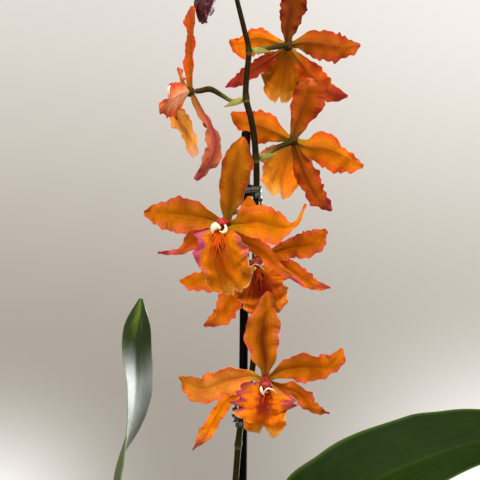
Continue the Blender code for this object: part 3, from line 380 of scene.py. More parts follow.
# Buds: the stem place their pedicel starts at, then base, middle and tip of the bud, and its radius
BUDS = {
    "bud_opening": ([(-6.2, 0.4, 552), (-9, 2, 556), (-13.5, 4, 556)], (-16, 5, 553), (-22.3, 6, 530), 5.6),
    "bud_upper": ([(-7.6, 1, 567), (-4, 0, 571), (-0.5, -1, 575)], (1, -1.5, 577.5), (7, -3.5, 589), 3.6),
    "bud_tip": ([(-10, 1, 579), (-12, 1, 583)], (-12.8, 1, 585.5), (-15.5, 1, 596), 2.8),
}

BUD_OUTLINE = [(0, 0.2), (0.08, 0.5), (0.26, 0.92), (0.48, 1), (0.72, 0.78), (0.9, 0.42), (1, 0.08)]

# Darker and paler colour of the closed buds and of the opening one, and the colours of its outer sepals
BUD_COLOURS = [((0.12, 0.03, 0.02), (0.2, 0.14, 0.04)), ((0.045, 0.006, 0.008), (0.15, 0.045, 0.04))]
BUD_SEPAL = {
    "body": (0.05, 0.005, 0.012), "middle": (0.05, 0.005, 0.012), "edge": (0.13, 0.02, 0.03),
    "root": (0.05, 0.005, 0.012), "tip": (0.09, 0.01, 0.03), "rib": (0.02, 0.002, 0.006),
}
BUD_SEPAL_BACK = {**BUD_SEPAL, "body": (0.2, 0.07, 0.05), "middle": (0.14, 0.04, 0.03)}
BUD_SEPAL_PATH = [(0.04, 0.35), (0.3, 0.9), (0.62, 0.95), (0.86, 0.8), (1.0, 0.85)]

# Leaves: midrib from root to tip, the way the upper face looks at root and at tip, and the width.
# A leaf that starts at a pseudobulb's top names it, and the others start in the potting mix.
LEAVES = {
    "leaf_left": {
        "midrib": [
            (-21.5, 14.4, 172), (-33, 6, 200), (-50, -8, 245), (-61, -18, 280), (-62, -22, 305),
            (-55.4, -23.5, 329), (-52.6, -24.5, 348), (-52.2, -25, 372), (-49.4, -26, 392),
        ],
        "faces": [
            (0.9, 0.3, 0.6), (0.95, 0.2, 0.5), (1, 0.1, 0.4), (1, 0.12, 0.1), (1, 0.1, 0),
            (0.85, -0.5, 0), (0.1, -1, 0),
        ],
        "outline": ("strap", "strap"),
        "width": 28,
        "bulb": 1,
    },
    "leaf_right": {
        "midrib": [
            (14, 16, 168), (17, 8, 203), (24, -14, 250), (35, -32, 280), (48, -40, 299), (60.4, -45, 309),
            (89.3, -52, 322.7), (106.8, -56, 328.9), (132, -60, 333), (160, -62, 328),
        ],
        "faces": [(-0.6, 0.2, 0.7), (-0.6, -0.7, 0.4), (-0.3, -0.9, 0.35), (0, -0.93, 0.35)],
        "outline": ("arch_upper", "arch_lower"),
        "width": 52,
        "bulb": 2,
    },
    "leaf_back_left": {
        "midrib": [(-17.5, 18.2, 172), (-33, 38, 212), (-58, 66, 246), (-88, 96, 254), (-118, 124, 232)],
        "faces": [(0.5, -0.5, 0.7), (0.3, -0.3, 0.9), (0, 0, 1)],
        "outline": ("strap", "strap"),
        "width": 34,
        "bulb": 1,
    },
    "leaf_back_right": {
        "midrib": [(14, 22.8, 168), (26, 42, 210), (50, 68, 240), (84, 94, 245), (116, 116, 222)],
        "faces": [(-0.5, -0.5, 0.7), (-0.3, -0.3, 0.9), (0, 0, 1)],
        "outline": ("strap", "strap"),
        "width": 34,
        "bulb": 2,
    },
    "leaf_old": {
        "midrib": [(39, 7.5, 152), (54, 10, 190), (84, 14, 218), (120, 18, 214), (150, 22, 184)],
        "faces": [(-0.7, 0, 0.7), (-0.3, 0, 0.95), (0.2, 0, 0.95)],
        "outline": ("strap", "strap"),
        "width": 30,
        "bulb": 3,
    },
    "leaf_front_left": {
        "midrib": [
            (-41, 2, 92), (-43, 0, 108), (-58, -14, 160), (-86, -36, 196), (-118, -58, 200), (-146, -76, 176),
        ],
        "faces": [(0.8, 0.4, 0.3), (0.5, 0.2, 0.8), (0, 0, 1)],
        "outline": ("strap", "strap"),
        "width": 32,
        "bulb": None,
    },
    "leaf_front_right": {
        "midrib": [
            (22, -16, 92), (24, -18, 108), (38, -36, 158), (62, -64, 192), (90, -92, 196), (114, -116, 172),
        ],
        "faces": [(-0.6, 0.6, 0.4), (-0.3, 0.3, 0.9), (0, 0, 1)],
        "outline": ("strap", "strap"),
        "width": 32,
        "bulb": None,
    },
}
LEAF_FOLDS = (62, 12)
TEPAL_FOLDS = (30, 6)
LIP_FOLDS = (20, -12)
BRACT_FOLDS = (72, 58)

# Fine blades: how many rows and columns their faces have, how thick edge and rib are, and how deep the
# groove over the rib is
TEPAL_GRID = (88, 26)
LIP_GRID = (96, 56)
LEAF_GRID = (150, 26)
BRACT_GRID = (20, 8)
TEPAL_THICKNESS = (0.35, 0.95)
LIP_THICKNESS = (0.3, 0.9)
LEAF_THICKNESS = (0.7, 1.9)
FRILL_COUNTS = (6, 9, 13, 18)
FAN_COUNTS = (5, 9, 14, 21)
TEETH = 19
DORSAL_TEETH = 0.4
TOOTH_SIZES = {1: 2.9, 2: 2.2, 3: 2.6, 4: 2.0, 5: 2.2, 6: 2.6}
JAGS = 11
LIP_JAGS = {1: 0.8, 2: 0.8, 3: 1.0, 4: 0.5, 5: 0.9, 6: 1.8}

# Seeds: how far those of two blooms are apart, and the lip's from its bloom's
BLOOM_SEEDS = 10000
LIP_SEED = 20

# Notch at the tip of a bloom's lip: how deep it is, and its share of the half width
LIP_NOTCHES = {1: (3, 0.17), 2: (2, 0.17), 3: (3.5, 0.14), 4: (2.6, 0.15), 5: (3, 0.17), 6: (6.5, 0.28)}
THROAT = 0.2
LIP_LENGTH = 30
LIP_FANS = {2: 0.8, 4: 1.4}
LIP_TIPS = {6: (0.84, 0.42, 0.05)}
LIP_EDGES = {4: 0.6}
LIP_SCALLOPS = {2: 0.3, 4: 1.5, 6: 0.5}
LIP_WAVES = {2: 0.6}
LIP_TURNS = {2: -12}

# Colours of blades: body, the middle along the rib, then edge, root, tip and rib
TEPAL_FRONT = {
    "body": (0.66, 0.19, 0.001), "middle": (0.44, 0.125, 0.001), "edge": (0.74, 0.14, 0.035),
    "root": (0.36, 0.19, 0.006), "tip": (0.66, 0.13, 0.012), "rib": (0.32, 0.08, 0.001),
}
TEPAL_BACK = {
    "body": (0.56, 0.15, 0.002), "middle": (0.34, 0.085, 0.002), "edge": (0.58, 0.07, 0.012),
    "root": (0.24, 0.14, 0.008), "tip": (0.5, 0.05, 0.02), "rib": (0.07, 0.024, 0.002),
}
SEPAL_TIP = (0.27, 0.02, 0.04)
PETAL_TIP_START = 0.92
SEPAL_TIP_START = 0.8
TIP_STARTS = {
    (1, 3): 0.7, (1, 4): 0.56, (4, 3): 0.62, (4, 4): 0.64, (5, 4): 0.68, (6, 1): 0.55, (6, 3): 0.72,
}
EDGE_START = 0.46
EDGE_STARTS = {6: 0.58}
HEART_BROWN = (0.06, 0.03, 0.004)
LIP_FRONT = {
    "body": (0.68, 0.16, 0.001), "middle": (0.52, 0.08, 0.001), "edge": (0.8, 0.25, 0.03),
    "root": (0.52, 0.16, 0.004), "tip": (0.86, 0.28, 0.012), "rib": (0.45, 0.04, 0.001),
}
LIP_BACK = {
    "body": (0.9, 0.36, 0.02), "middle": (0.88, 0.31, 0.01), "edge": (0.92, 0.42, 0.1),
    "root": (0.7, 0.26, 0.01), "tip": (0.92, 0.42, 0.09), "rib": (0.74, 0.22, 0.01),
}
LIP_RIM = (0.93, 0.55, 0.24)
LIP_PALE = (0.95, 0.55, 0.24)
LIP_THROAT = (0.15, 0.008, 0.001)
LIP_MAGENTA = (0.43, 0.05, 0.13)
LIP_PURPLE = (0.34, 0.025, 0.065)
LIP_PALEST = (0.97, 0.58, 0.32)

# The bloom whose lip has a narrower magenta margin on one side
NARROW_MARGIN_LIP = 4
LEAF_FRONT = {
    "body": (0.009, 0.021, 0.0015), "middle": (0.01, 0.024, 0.0015), "edge": (0.06, 0.1, 0.013),
    "root": (0.13, 0.16, 0.035), "tip": (0.08, 0.14, 0.002), "rib": (0.022, 0.05, 0.004),
}
LEAF_BACK = {
    "body": (0.04, 0.08, 0.014), "middle": (0.05, 0.095, 0.018), "edge": (0.22, 0.3, 0.05),
    "root": (0.18, 0.21, 0.06), "tip": (0.07, 0.12, 0.012), "rib": (0.1, 0.15, 0.035),
}
BRACT = {
    "body": (0.5, 0.47, 0.13), "middle": (0.42, 0.42, 0.1), "edge": (0.46, 0.36, 0.08),
    "root": (0.34, 0.34, 0.06), "tip": (0.4, 0.24, 0.05), "rib": (0.34, 0.34, 0.07),
}

# How much the tepals of a bloom (dorsal, petals, sepals), and its lip, are darker or paler than usual: partly
# their own colour, partly painted shade and light matched to how each is lit
TEPAL_TONES_AND_PAINTED_SHADE = {
    1: [(0.3, 0.24, 0.5), (1.3, 1.3, 1), (0.68, 0.6, 1), (1.1, 0.9, 1), (1.5, 1.4, 1)],
    2: [(1.1, 0.8, 0.6), (1, 1, 1), (1.15, 1.2, 1.1), (0.8, 0.85, 1), (1, 0.9, 1)],
    3: [(0.6, 0.5, 1), (1.07, 1.1, 1), (1.1, 1.15, 1), (1, 0.9, 1), (0.64, 0.5, 1)],
    4: [(0.52, 0.55, 1), (0.75, 0.76, 1), (1.1, 1.1, 1), (0.76, 0.54, 0.9), (1.12, 1, 1)],
    5: [(0.8, 0.8, 1), (1.25, 1.3, 1), (0.76, 0.64, 1), (1.1, 1.1, 1), (0.95, 0.85, 1)],
    6: [(0.66, 0.64, 1), (1.06, 1.2, 1), (0.82, 0.76, 1), (1.07, 1.1, 1), (0.74, 0.62, 0.9)],
}
# Lip tones: partly their own colour; the lips of blooms 2 and 3 are painted paler and brighter as painted
# light glowing through them
LIP_TONES_AND_PAINTED_LIGHT = {
    1: (0.68, 0.8, 0.6), 2: (1.4, 3.4, 60), 3: (1.2, 1.75, 2.5), 4: (0.84, 0.95, 1), 5: (0.84, 0.84, 1),
    6: (0.95, 1, 1),
}

# How strongly a lip's middle turns to the throat's dark red, and its margin to magenta
THROATS = {1: 0, 2: 0, 3: 0, 4: 0.25, 5: 1, 6: 1}
THROAT_WIDTHS = {5: 1.7}
MARGINS = {1: 0.3, 2: 0.2, 3: 0.8, 4: 0.9, 5: 0.2, 6: 0.9}

# Crest of fingers on a lip: how many, how far they spread, how long they are and how high they stand
CREST = {
    1: (9, 0.2, 0.42, 1), 2: (9, 0.2, 0.42, 1), 3: (9, 0.2, 0.42, 1), 4: (17, 0.17, 0.46, 1.1),
    5: (7, 0.12, 0.4, 0.6), 6: (5, 0.12, 0.42, 0.35),
}

# Colours of the crest of fingers, at its root and beyond it
CALLUS_ROOT = (0.4, 0.02, 0.004)
CALLUS = {
    1: (0.5, 0.08, 0.002), 2: (0.5, 0.08, 0.002), 3: (0.5, 0.08, 0.002), 4: (0.52, 0.075, 0.001),
    5: (0.36, 0.04, 0.002), 6: (0.4, 0.03, 0.001),
}

# Tepals with colours of their own: bloom, and which of its tepals
OWN_COLOURS = {
    (1, 3): {
        "body": (0.33, 0.055, 0.008), "middle": (0.2, 0.03, 0.008), "edge": (0.42, 0.05, 0.012),
        "tip": (0.36, 0.02, 0.05),
    },
    (1, 4): {
        "body": (0.28, 0.052, 0.003), "middle": (0.22, 0.04, 0.004), "edge": (0.42, 0.06, 0.006),
        "tip": (0.17, 0.009, 0.015),
    },
    (2, 0): {"body": (0.6, 0.13, 0.02), "edge": (0.62, 0.1, 0.03), "tip": (0.62, 0.13, 0.05)},
    (2, 2): {"body": (0.66, 0.19, 0.06), "middle": (0.76, 0.36, 0.17), "edge": (0.62, 0.07, 0.015)},
    (2, 3): {
        "body": (0.5, 0.12, 0.03), "middle": (0.36, 0.04, 0.04), "edge": (0.62, 0.17, 0.07),
        "rib": (0.15, 0.01, 0.01),
    },
    (3, 0): {"tip": (0.78, 0.17, 0.07)},
    (4, 0): {"middle": (0.36, 0.1, 0.001), "edge": (0.44, 0.07, 0.004)},
    (4, 3): {"tip": (0.52, 0.07, 0.13)},
    (4, 4): {"tip": (0.4, 0.04, 0.09)},
    (5, 1): {"root": (0.12, 0.03, 0.003)},
    (5, 3): {"root": (0.12, 0.03, 0.003)},
    (5, 4): {"tip": (0.36, 0.025, 0.05)},
    (6, 0): {"middle": (0.15, 0.016, 0.001), "rib": (0.17, 0.02, 0.001), "root": (0.3, 0.1, 0.004)},
    (6, 1): {"body": (0.74, 0.235, 0.03), "middle": (0.58, 0.17, 0.02), "tip": (0.44, 0.14, 0.002)},
}


# Curves


def unit(rows):
    return rows / np.maximum(np.linalg.norm(rows, axis=-1, keepdims=True), 1e-12)


def eased(share):
    return share * share * (3 - 2 * share)


def ramp(value, low, high):
    """0 below low and 1 above high, eased between them."""
    return eased(np.clip((value - low) / (high - low), 0, 1))


def mix_at(near, far, start, end, at):
    return (near * (end - at) + far * (at - start)) / (end - start)


def spline_place(four, share):
    """A place between the middle two of four points, on a centripetal Catmull-Rom curve."""
    a, b, c, d = four
    knots = [0.0]
    for near, far in zip(four, four[1:]):
        knots.append(knots[-1] + math.sqrt(np.linalg.norm(far - near)))
    at = knots[1] + (knots[2] - knots[1]) * share
    ab = mix_at(a, b, knots[0], knots[1], at)
    bc = mix_at(b, c, knots[1], knots[2], at)
    cd = mix_at(c, d, knots[2], knots[3], at)
    near = mix_at(ab, bc, knots[0], knots[2], at)
    far = mix_at(bc, cd, knots[1], knots[3], at)
    return mix_at(near, far, knots[1], knots[2], at)


def smooth_path(points, count, steps=30):
    """Evenly spaced places along the smooth curve through the points."""
    points = [np.array(point, float) for point in points]
    padded = [points[0] * 2 - points[1]] + points + [points[-1] * 2 - points[-2]]
    fine = []
    for start in range(len(points) - 1):
        fine += [spline_place(padded[start : start + 4], step / steps) for step in range(steps)]
    fine = np.array(fine + [points[-1]])
    lengths = np.concatenate([[0], np.cumsum(np.linalg.norm(np.diff(fine, axis=0), axis=1))])
    wanted = np.linspace(0, lengths[-1], count)
    return np.stack([np.interp(wanted, lengths, fine[:, axis]) for axis in range(3)], axis=1)


def directions(places):
    ends = np.concatenate([places[:1], places, places[-1:]])
    return unit(ends[2:] - ends[:-2])


def between(values, share):
    """Values on the straight runs between evenly spaced values."""
    values = np.array(values, float)
    at = np.clip(share, 0, 1) * (len(values) - 1)
    if values.ndim == 1:
        return np.interp(at, np.arange(len(values)), values)
    return np.stack([np.interp(at, np.arange(len(values)), column) for column in values.T], axis=-1)


def outline_at(outline, share):
    """A smooth curve through the outline's points that never overshoots them."""
    at, values = np.array(outline, float).T
    step = np.diff(at)
    slope = np.diff(values) / step
    before, after = slope[:-1], slope[1:]
    inner = np.where(before * after > 0, 2 * before * after / (before + after + 1e-12), 0)
    tangent = np.concatenate([slope[:1], inner, slope[-1:]])
    i = np.clip(np.searchsorted(at, share, side="right") - 1, 0, len(at) - 2)
    t = np.clip((share - at[i]) / step[i], 0, 1)
    start = values[i] * (2 * t**3 - 3 * t**2 + 1) + tangent[i] * step[i] * (t**3 - 2 * t**2 + t)
    return start + values[i + 1] * (3 * t**2 - 2 * t**3) + tangent[i + 1] * step[i] * (t**3 - t**2)


def edge_wave(seed, share):
    """The height of the waves along one edge, the same as in the solids."""
    draw = random.Random(seed)
    waves = [(count, draw.uniform(0, TURN), draw.uniform(0.5, 1)) for count in WAVE_COUNTS]
    return sum(size * np.sin(TURN * count * share + start) for count, start, size in waves)


def frill_wave(seed, share):
    """Short ruffles of uneven height along one edge, between about -1 and 1."""
    draw = random.Random(seed)
    total = 0
    for count in FRILL_COUNTS:
        start, size = draw.uniform(0, TURN), draw.uniform(0.4, 1)
        swell = 0.55 + 0.45 * np.sin(TURN * draw.uniform(1, 3) * share + draw.uniform(0, TURN))
        total = total + size * swell * np.sin(TURN * count * share + start)
    return total / 2


def fan_wave(seed, angle):
    """Ruffles that radiate from a lip's throat, between about -1 and 1. angle is in radians."""
    draw = random.Random(seed)
    waves = [(count, draw.uniform(0, TURN), draw.uniform(0.5, 1)) for count in FAN_COUNTS]
    return sum(size * np.sin(count * angle + start) for count, start, size in waves) / 2


def teeth(seed, share, count=TEETH):
    """Small uneven teeth along one edge, between 0 and 1."""
    draw = random.Random(seed)
    heights = [draw.uniform(0.3, 1) if step % 2 else draw.uniform(0, 0.25) for step in range(count + 1)]
    places = [0] + [(step + draw.uniform(-0.3, 0.3)) / count for step in range(1, count)] + [1]
    return np.interp(share, places, heights)


def cloud(seed, first, second, count=7):
    """Soft uneven patches over two coordinates, between about -1 and 1."""
    draw = random.Random(seed)
    total = 0
    for _ in range(count):
        a, b, start = draw.uniform(2, 14), draw.uniform(1, 6), draw.uniform(0, TURN)
        total = total + np.sin(a * first + b * second * draw.choice((-1, 1)) + start)
    return total / count * 1.6


def each_side(side, wave, seed, share, *more):
    """A wave of its own for each edge of a blade."""
    return np.where(side > 0, wave(seed, share, *more)[:, None], wave(seed + 1, share, *more)[:, None])


# Meshes


def circle(sides):
    return TURN * np.arange(sides) / sides


def sphere(stations, sides):
    """Places on a ball of radius 1, in rings, with the angles of its rings and of their places."""
    rows = math.pi * (np.arange(stations) + 0.5) / stations
    angle = circle(sides)
    x = np.sin(rows)[:, None] * np.cos(angle)
    y = np.sin(rows)[:, None] * np.sin(angle)
    z = np.cos(rows)[:, None] + 0 * angle
    return np.stack([x, y, z], axis=-1)[::-1], rows, angle


def grain_of(first, second):
    """Two coordinates for rings of places: one for each ring, and one for each place of a ring."""
    return np.stack(np.broadcast_arrays(first[:, None], second[None, :]), axis=-1)


def resized(rings, size):
    """Rings made wider or narrower about their middles."""
    middle = rings.mean(1, keepdims=True)
    return middle + (rings - middle) * size


def shares_of(grid):
    """The share of the length, and the side from -1 to 1, of the rows and columns of a blade."""
    return np.linspace(0, 1, grid.shape[0])[:, None], np.linspace(-1, 1, grid.shape[1])[None, :]


def normals(grid):
    return unit(np.cross(np.gradient(grid, axis=1), np.gradient(grid, axis=0)))


def blend(tint, colour, weight):
    """A tint that is moved towards a colour by its weight at each place."""
    return tint + (np.array(colour) - tint) * weight[..., None]


class Body:
    """Collects closed surfaces, each with places, faces, two coordinates and a tint, for one object."""

    def __init__(self):
        self.places, self.faces, self.grain, self.tints, self.slots = [], [], [], [], []
        self.count = 0

    def add(self, places, faces, grain, tint, slot=0):
        places = np.asarray(places, float).reshape(-1, 3)
        grain = np.asarray(grain, float).reshape(-1, 2)
        tint = np.broadcast_to(np.asarray(tint, float), places.shape)
        self.places.append(places)
        self.grain.append(grain)
        self.tints.append(tint)
        self.faces += [[corner + self.count for corner in face] for face in faces]
        self.slots += [slot] * len(faces)
        self.count += len(places)

    def build(self, name, materials, sharp=55):
        mesh = bpy.data.meshes.new(name)
        mesh.from_pydata((np.concatenate(self.places) * METRES).tolist(), [], self.faces)
        corners = np.zeros(len(mesh.loops), int)
        mesh.loops.foreach_get("vertex_index", corners)
        layer = mesh.uv_layers.new(name="grain")
        layer.data.foreach_set("uv", np.concatenate(self.grain)[corners].ravel())
        tint = mesh.color_attributes.new("tint", "FLOAT_COLOR", "POINT")
        tints = np.clip(np.concatenate(self.tints), 0, 1)
        tint.data.foreach_set("color", np.column_stack([tints, np.ones(len(tints))]).ravel())
        for material in materials:
            mesh.materials.append(material)
        mesh.polygons.foreach_set("material_index", self.slots)
        mesh.shade_smooth()
        mesh.set_sharp_from_angle(angle=math.radians(sharp))
        mesh.update()
        body = bpy.data.objects.new(name, mesh)
        bpy.context.scene.collection.objects.link(body)
        return body

    def put(self, name, materials, replaces=(), sharp=55):
        body = self.build(name, materials, sharp)
        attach(body, "root")
        if replaces:
            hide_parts(*replaces)


def grid_faces(rows, columns, start=0, closed=False, flip=False):
    """Four-cornered faces over a grid of rows of places. closed joins the last column to the first."""
    faces = []
    wide = columns if closed else columns + 1
    for i in range(rows):
        for j in range(columns):
            a, b = start + i * wide + j, start + i * wide + (j + 1) % wide
            face = [a, b, b + wide, a + wide]
            faces.append(face[::-1] if flip else face)
    return faces


def blade_body(body, grid, thickness, front, back, slot=0):
    """A closed thin body round a grid of places, with its own tints for front and back."""
    rows, columns = grid.shape[0] - 1, grid.shape[1] - 1
    share, side = shares_of(grid)
    share = share * np.ones_like(side)
    normal = normals(grid)
    half = (thickness[1] + (thickness[0] - thickness[1]) * np.abs(side)) / 2 * (1 - 0.45 * share)
    places = np.concatenate([grid + normal * half[..., None], grid - normal * half[..., None]])
    grain = np.stack([share, side * np.ones_like(share)], axis=-1)
    count = (rows + 1) * (columns + 1)
    faces = grid_faces(rows, columns) + grid_faces(rows, columns, start=count, flip=True)
    rim = [(0, j) for j in range(columns)] + [(i, columns) for i in range(rows)]
    rim += [(rows, j) for j in range(columns, 0, -1)] + [(i, 0) for i in range(rows, 0, -1)]
    rim = [i * (columns + 1) + j for i, j in rim]
    for near, far in zip(rim, rim[1:] + rim[:1]):
        faces.append([far, near, near + count, far + count])
    tints = np.concatenate([front, back]).reshape(-1, 3)
    body.add(places, faces, np.concatenate([grain, grain]), tints, slot)


def blade_grid(blade, rows, columns):
    """The middle surface of a blade: the solids' own form, with finer ruffles, teeth and a groove."""
    share = np.linspace(0, 1, rows + 1)
    places = smooth_path(blade["midrib"], rows + 1)
    along = directions(places)
    face = between(blade["faces"], share)
    face = unit(face - along * (face * along).sum(1)[:, None])
    turn = np.radians(between(blade["turns"], share))[:, None]
    face = face * np.cos(turn) + np.cross(along, face) * np.sin(turn)
    across = np.cross(along, face)
    fold = np.radians(between(blade["folds"], np.minimum(1, share / 0.6)))[:, None]
    rise = (eased(np.minimum(1, share / 0.35)) * blade["wave"])[:, None]
    side = np.linspace(-1, 1, columns + 1)[None, :]
    seed = blade["seed"]
    waves = [edge_wave(seed, share)[:, None], edge_wave(seed + 1, share)[:, None]]
    lift = np.where(side > 0, waves[1], waves[0])
    spread = np.where(side < 0, waves[1], waves[0])
    left, right = [outline_at(OUTLINES[name], share)[:, None] for name in blade["outline"]]
    reach = blade["width"] / 2 * np.where(side > 0, right, left)
    edge = np.abs(side)
    reach = reach * (1 + OUTLINE_WAVE * spread * edge * min(1, blade["wave"]))
    taper = ramp(share, blade["plain"], blade["plain"] + 0.25)[:, None]
    tooth = each_side(side, teeth, seed + 501, share)
    sharp = (0.45 + 0.55 * ramp(share, 0.3, 0.85))[:, None] * np.clip(reach / 5, 0.12, 1)
    reach = reach + blade["teeth"] * tooth * edge**4 * taper * sharp
    jag = each_side(side, teeth, seed + 505, share, JAGS)
    low = (ramp(share, 0.04, 0.14) * (1 - ramp(share, 0.58, 0.72)))[:, None]
    reach = reach + blade["jag"] * (jag - 0.3) * edge**6 * low
    ruffle = each_side(side, frill_wave, seed + 503, share)
    soft = np.sqrt(side**2 + 0.012) - math.sqrt(0.012)
    height = soft * reach * np.sin(fold) + side**2 * rise * lift
    height = height + blade["frill"] * ruffle * taper * ramp(edge, 0.35, 1)
    height = height - blade["groove"] * np.exp(-((side / 0.13) ** 2)) * (1 - share[:, None])
    if blade["fan"]:
        angle = fan_angle(side * reach, share[:, None])
        outer = np.maximum(edge, 2 * share[:, None] - 1)
        height = height + blade["fan"] * fan_wave(seed + 507, angle) * ramp(outer, 0.25, 1) * taper
    grid = places[:, None] + across[:, None] * (side * reach * np.cos(fold))[..., None]
    grid = grid + face[:, None] * height[..., None]
    back = blade["round_end"] * reach * share[:, None] * side**2
    notch, notch_width = blade["notch"]
    scallops = blade["scallop"] * np.abs(np.sin(side * 7 + seed % 3 + 0.5 * side**2))
    back = back + share[:, None] ** 5 * (notch * np.exp(-((side / notch_width) ** 2)) - scallops)
    return grid - along[:, None] * back[..., None]


def fan_angle(out, share):
    """The angle at which a place on a lip is seen from its throat. out is how far it is from the midline."""
    return np.arctan2(out, (share - THROAT) * LIP_LENGTH)


def blade_tint(colours, grid, seed, edge_from=0.5, tip_from=0.86, shade=(1, 1, 1)):
    """Tints over a blade: its body, turning to other colours at middle, edge, root, tip and rib."""
    share, side = shares_of(grid)
    patch = cloud(seed, share * 3, side * 1.5)
    fine = cloud(seed + 7, share * 14, side * 6)
    edge = np.abs(side) + 0 * share
    tint = np.array(colours["body"]) * (1 + 0.1 * patch[..., None])
    layers = [
        ("middle", np.exp(-((side / 0.42) ** 2)) * (1 - ramp(share + 0.1 * patch, 0.5, 1.0)) * 0.9),
        ("edge", ramp(edge + 0.2 * patch + 0.13 * fine, edge_from, 1.08) * ramp(share, 0.12, 0.45)),
        ("root", (1 - ramp(share + 0.05 * patch, 0.04, 0.3)) * 0.85),
        ("rib", np.exp(-((side / 0.06) ** 2)) * (0.7 - 0.6 * share)),
    ]
    for name, weight in layers:
        tint = blend(tint, colours[name], weight)
    tint = tint * shade
    tip = ramp(share + 0.05 * patch + 0.03 * fine - 0.12 * edge, tip_from - 0.06, 1.0) * 0.9
    return blend(tint, colours["tip"], tip)


def rings_body(body, rings, grain, tint, slot=0):
    """A closed surface over rings of places, with a pole at each end."""
    rings = np.asarray(rings, float)
    stations, sides = rings.shape[0], rings.shape[1]
    ends = [rings[0].mean(0), rings[-1].mean(0)]
    places = np.concatenate([rings.reshape(-1, 3), ends])
    faces = grid_faces(stations - 1, sides, closed=True, flip=True)
    first, last = stations * sides, stations * sides + 1
    top = (stations - 1) * sides
    for step in range(sides):
        after = (step + 1) % sides
        faces.append([step, after, first])
        faces.append([top + after, top + step, last])
    tint = np.broadcast_to(np.asarray(tint, float), rings.shape).reshape(-1, 3)
    tint = np.concatenate([tint, tint[:1], tint[-1:]])
    grain = np.asarray(grain, float).reshape(-1, 2)
    grain = np.concatenate([grain, grain[:1], grain[-1:]])
    body.add(places, faces, grain, tint, slot)


def frames(places):
    """Along, and two directions across a path that turn no more than the path does."""
    along = directions(places)
    start = np.array((0.0, 1.0, 0.0)) if abs(along[0][1]) < 0.8 else np.array((1.0, 0.0, 0.0))
    first = [unit(start - along[0] * start.dot(along[0]))]
    for way in along[1:]:
        first.append(unit(first[-1] - way * first[-1].dot(way)))
    first = np.array(first)
    return along, first, np.cross(along, first)


def tube_rings(points, radii, sides, stations, flat=1.0):
    """Rings along a smooth curve. The radii are spread evenly over its length."""
    places = smooth_path(points, stations)
    share = np.linspace(0, 1, stations)
    radius = between(radii, share)
    angle = circle(sides)
    along, first, second = frames(places)
    radius = radius.reshape(stations, -1, 1)
    ring = first[:, None] * np.cos(angle)[None, :, None]
    ring = ring + second[:, None] * np.sin(angle)[None, :, None] * flat
    return places[:, None] + ring * radius, grain_of(share, angle / TURN)


def ball(body, centre, radius, tint, slot=0, sides=24, stations=14):
    places, rows, angle = sphere(stations, sides)
    rings_body(body, np.array(centre) + places * radius, grain_of(rows / math.pi, angle / TURN), tint, slot)


# Materials


def node(tree, kind, inputs=(), **settings):
    made = tree.nodes.new("ShaderNode" + kind)
    for key, value in settings.items():
        setattr(made, key, value)
    for key, value in dict(inputs).items():
        if isinstance(value, bpy.types.NodeSocket):
            tree.links.new(value, made.inputs[key])
        else:
            made.inputs[key].default_value = value
    return made


def noise(tree, place, scale, detail=3.0, roughness=0.55, distortion=0.0):
    inputs = {
        "Vector": place, "Scale": scale, "Detail": detail, "Roughness": roughness, "Distortion": distortion,
    }
    return node(tree, "TexNoise", inputs).outputs[0]


def mapped(tree, value, low, high, start=0.3, end=0.7):
    inputs = {"Value": value, "From Min": start, "From Max": end, "To Min": low, "To Max": high}
    return node(tree, "MapRange", inputs).outputs[0]


def maths(tree, operation, first, second):
    return node(tree, "Math", {0: first, 1: second}, operation=operation).outputs[0]


def mixed(tree, factor, first, second, way="MIX"):
    return node(tree, "Mix", {0: factor, 6: first, 7: second}, data_type="RGBA", blend_type=way).outputs[2]


def scaled(tree, place, scale):
    return node(tree, "Mapping", {"Vector": place, "Scale": scale}).outputs[0]


def grey(tree, value):
    return node(tree, "CombineColor", {0: value, 1: value, 2: value}).outputs[0]


def times(tree, colour, value, low, high):
    """A colour that a value makes darker or paler, from low to high."""
    return mixed(tree, 1.0, colour, grey(tree, mapped(tree, value, low, high)), "MULTIPLY")


def new_material(name):
    made = bpy.data.materials.new(name)
    made.use_nodes = True
    made.node_tree.nodes.clear()
    return made, made.node_tree


def finish_material(tree, colour, height, bump, distance, roughness, sheen, glow=0.0):
    """Links a surface with a bump of the height, which lets the share glow of the light pass through."""
    normal = node(tree, "Bump", {"Strength": bump, "Distance": distance, "Height": height}).outputs[0]
    inputs = {"Base Color": colour, "Normal": normal, "Specular IOR Level": sheen, "Roughness": roughness}
    shader = node(tree, "BsdfPrincipled", inputs).outputs[0]
    if glow:
        through = node(tree, "BsdfTranslucent", {"Color": colour, "Normal": normal}).outputs[0]
        shader = node(tree, "MixShader", {0: glow, 1: shader, 2: through}).outputs[0]
    tree.links.new(shader, node(tree, "OutputMaterial").inputs["Surface"])


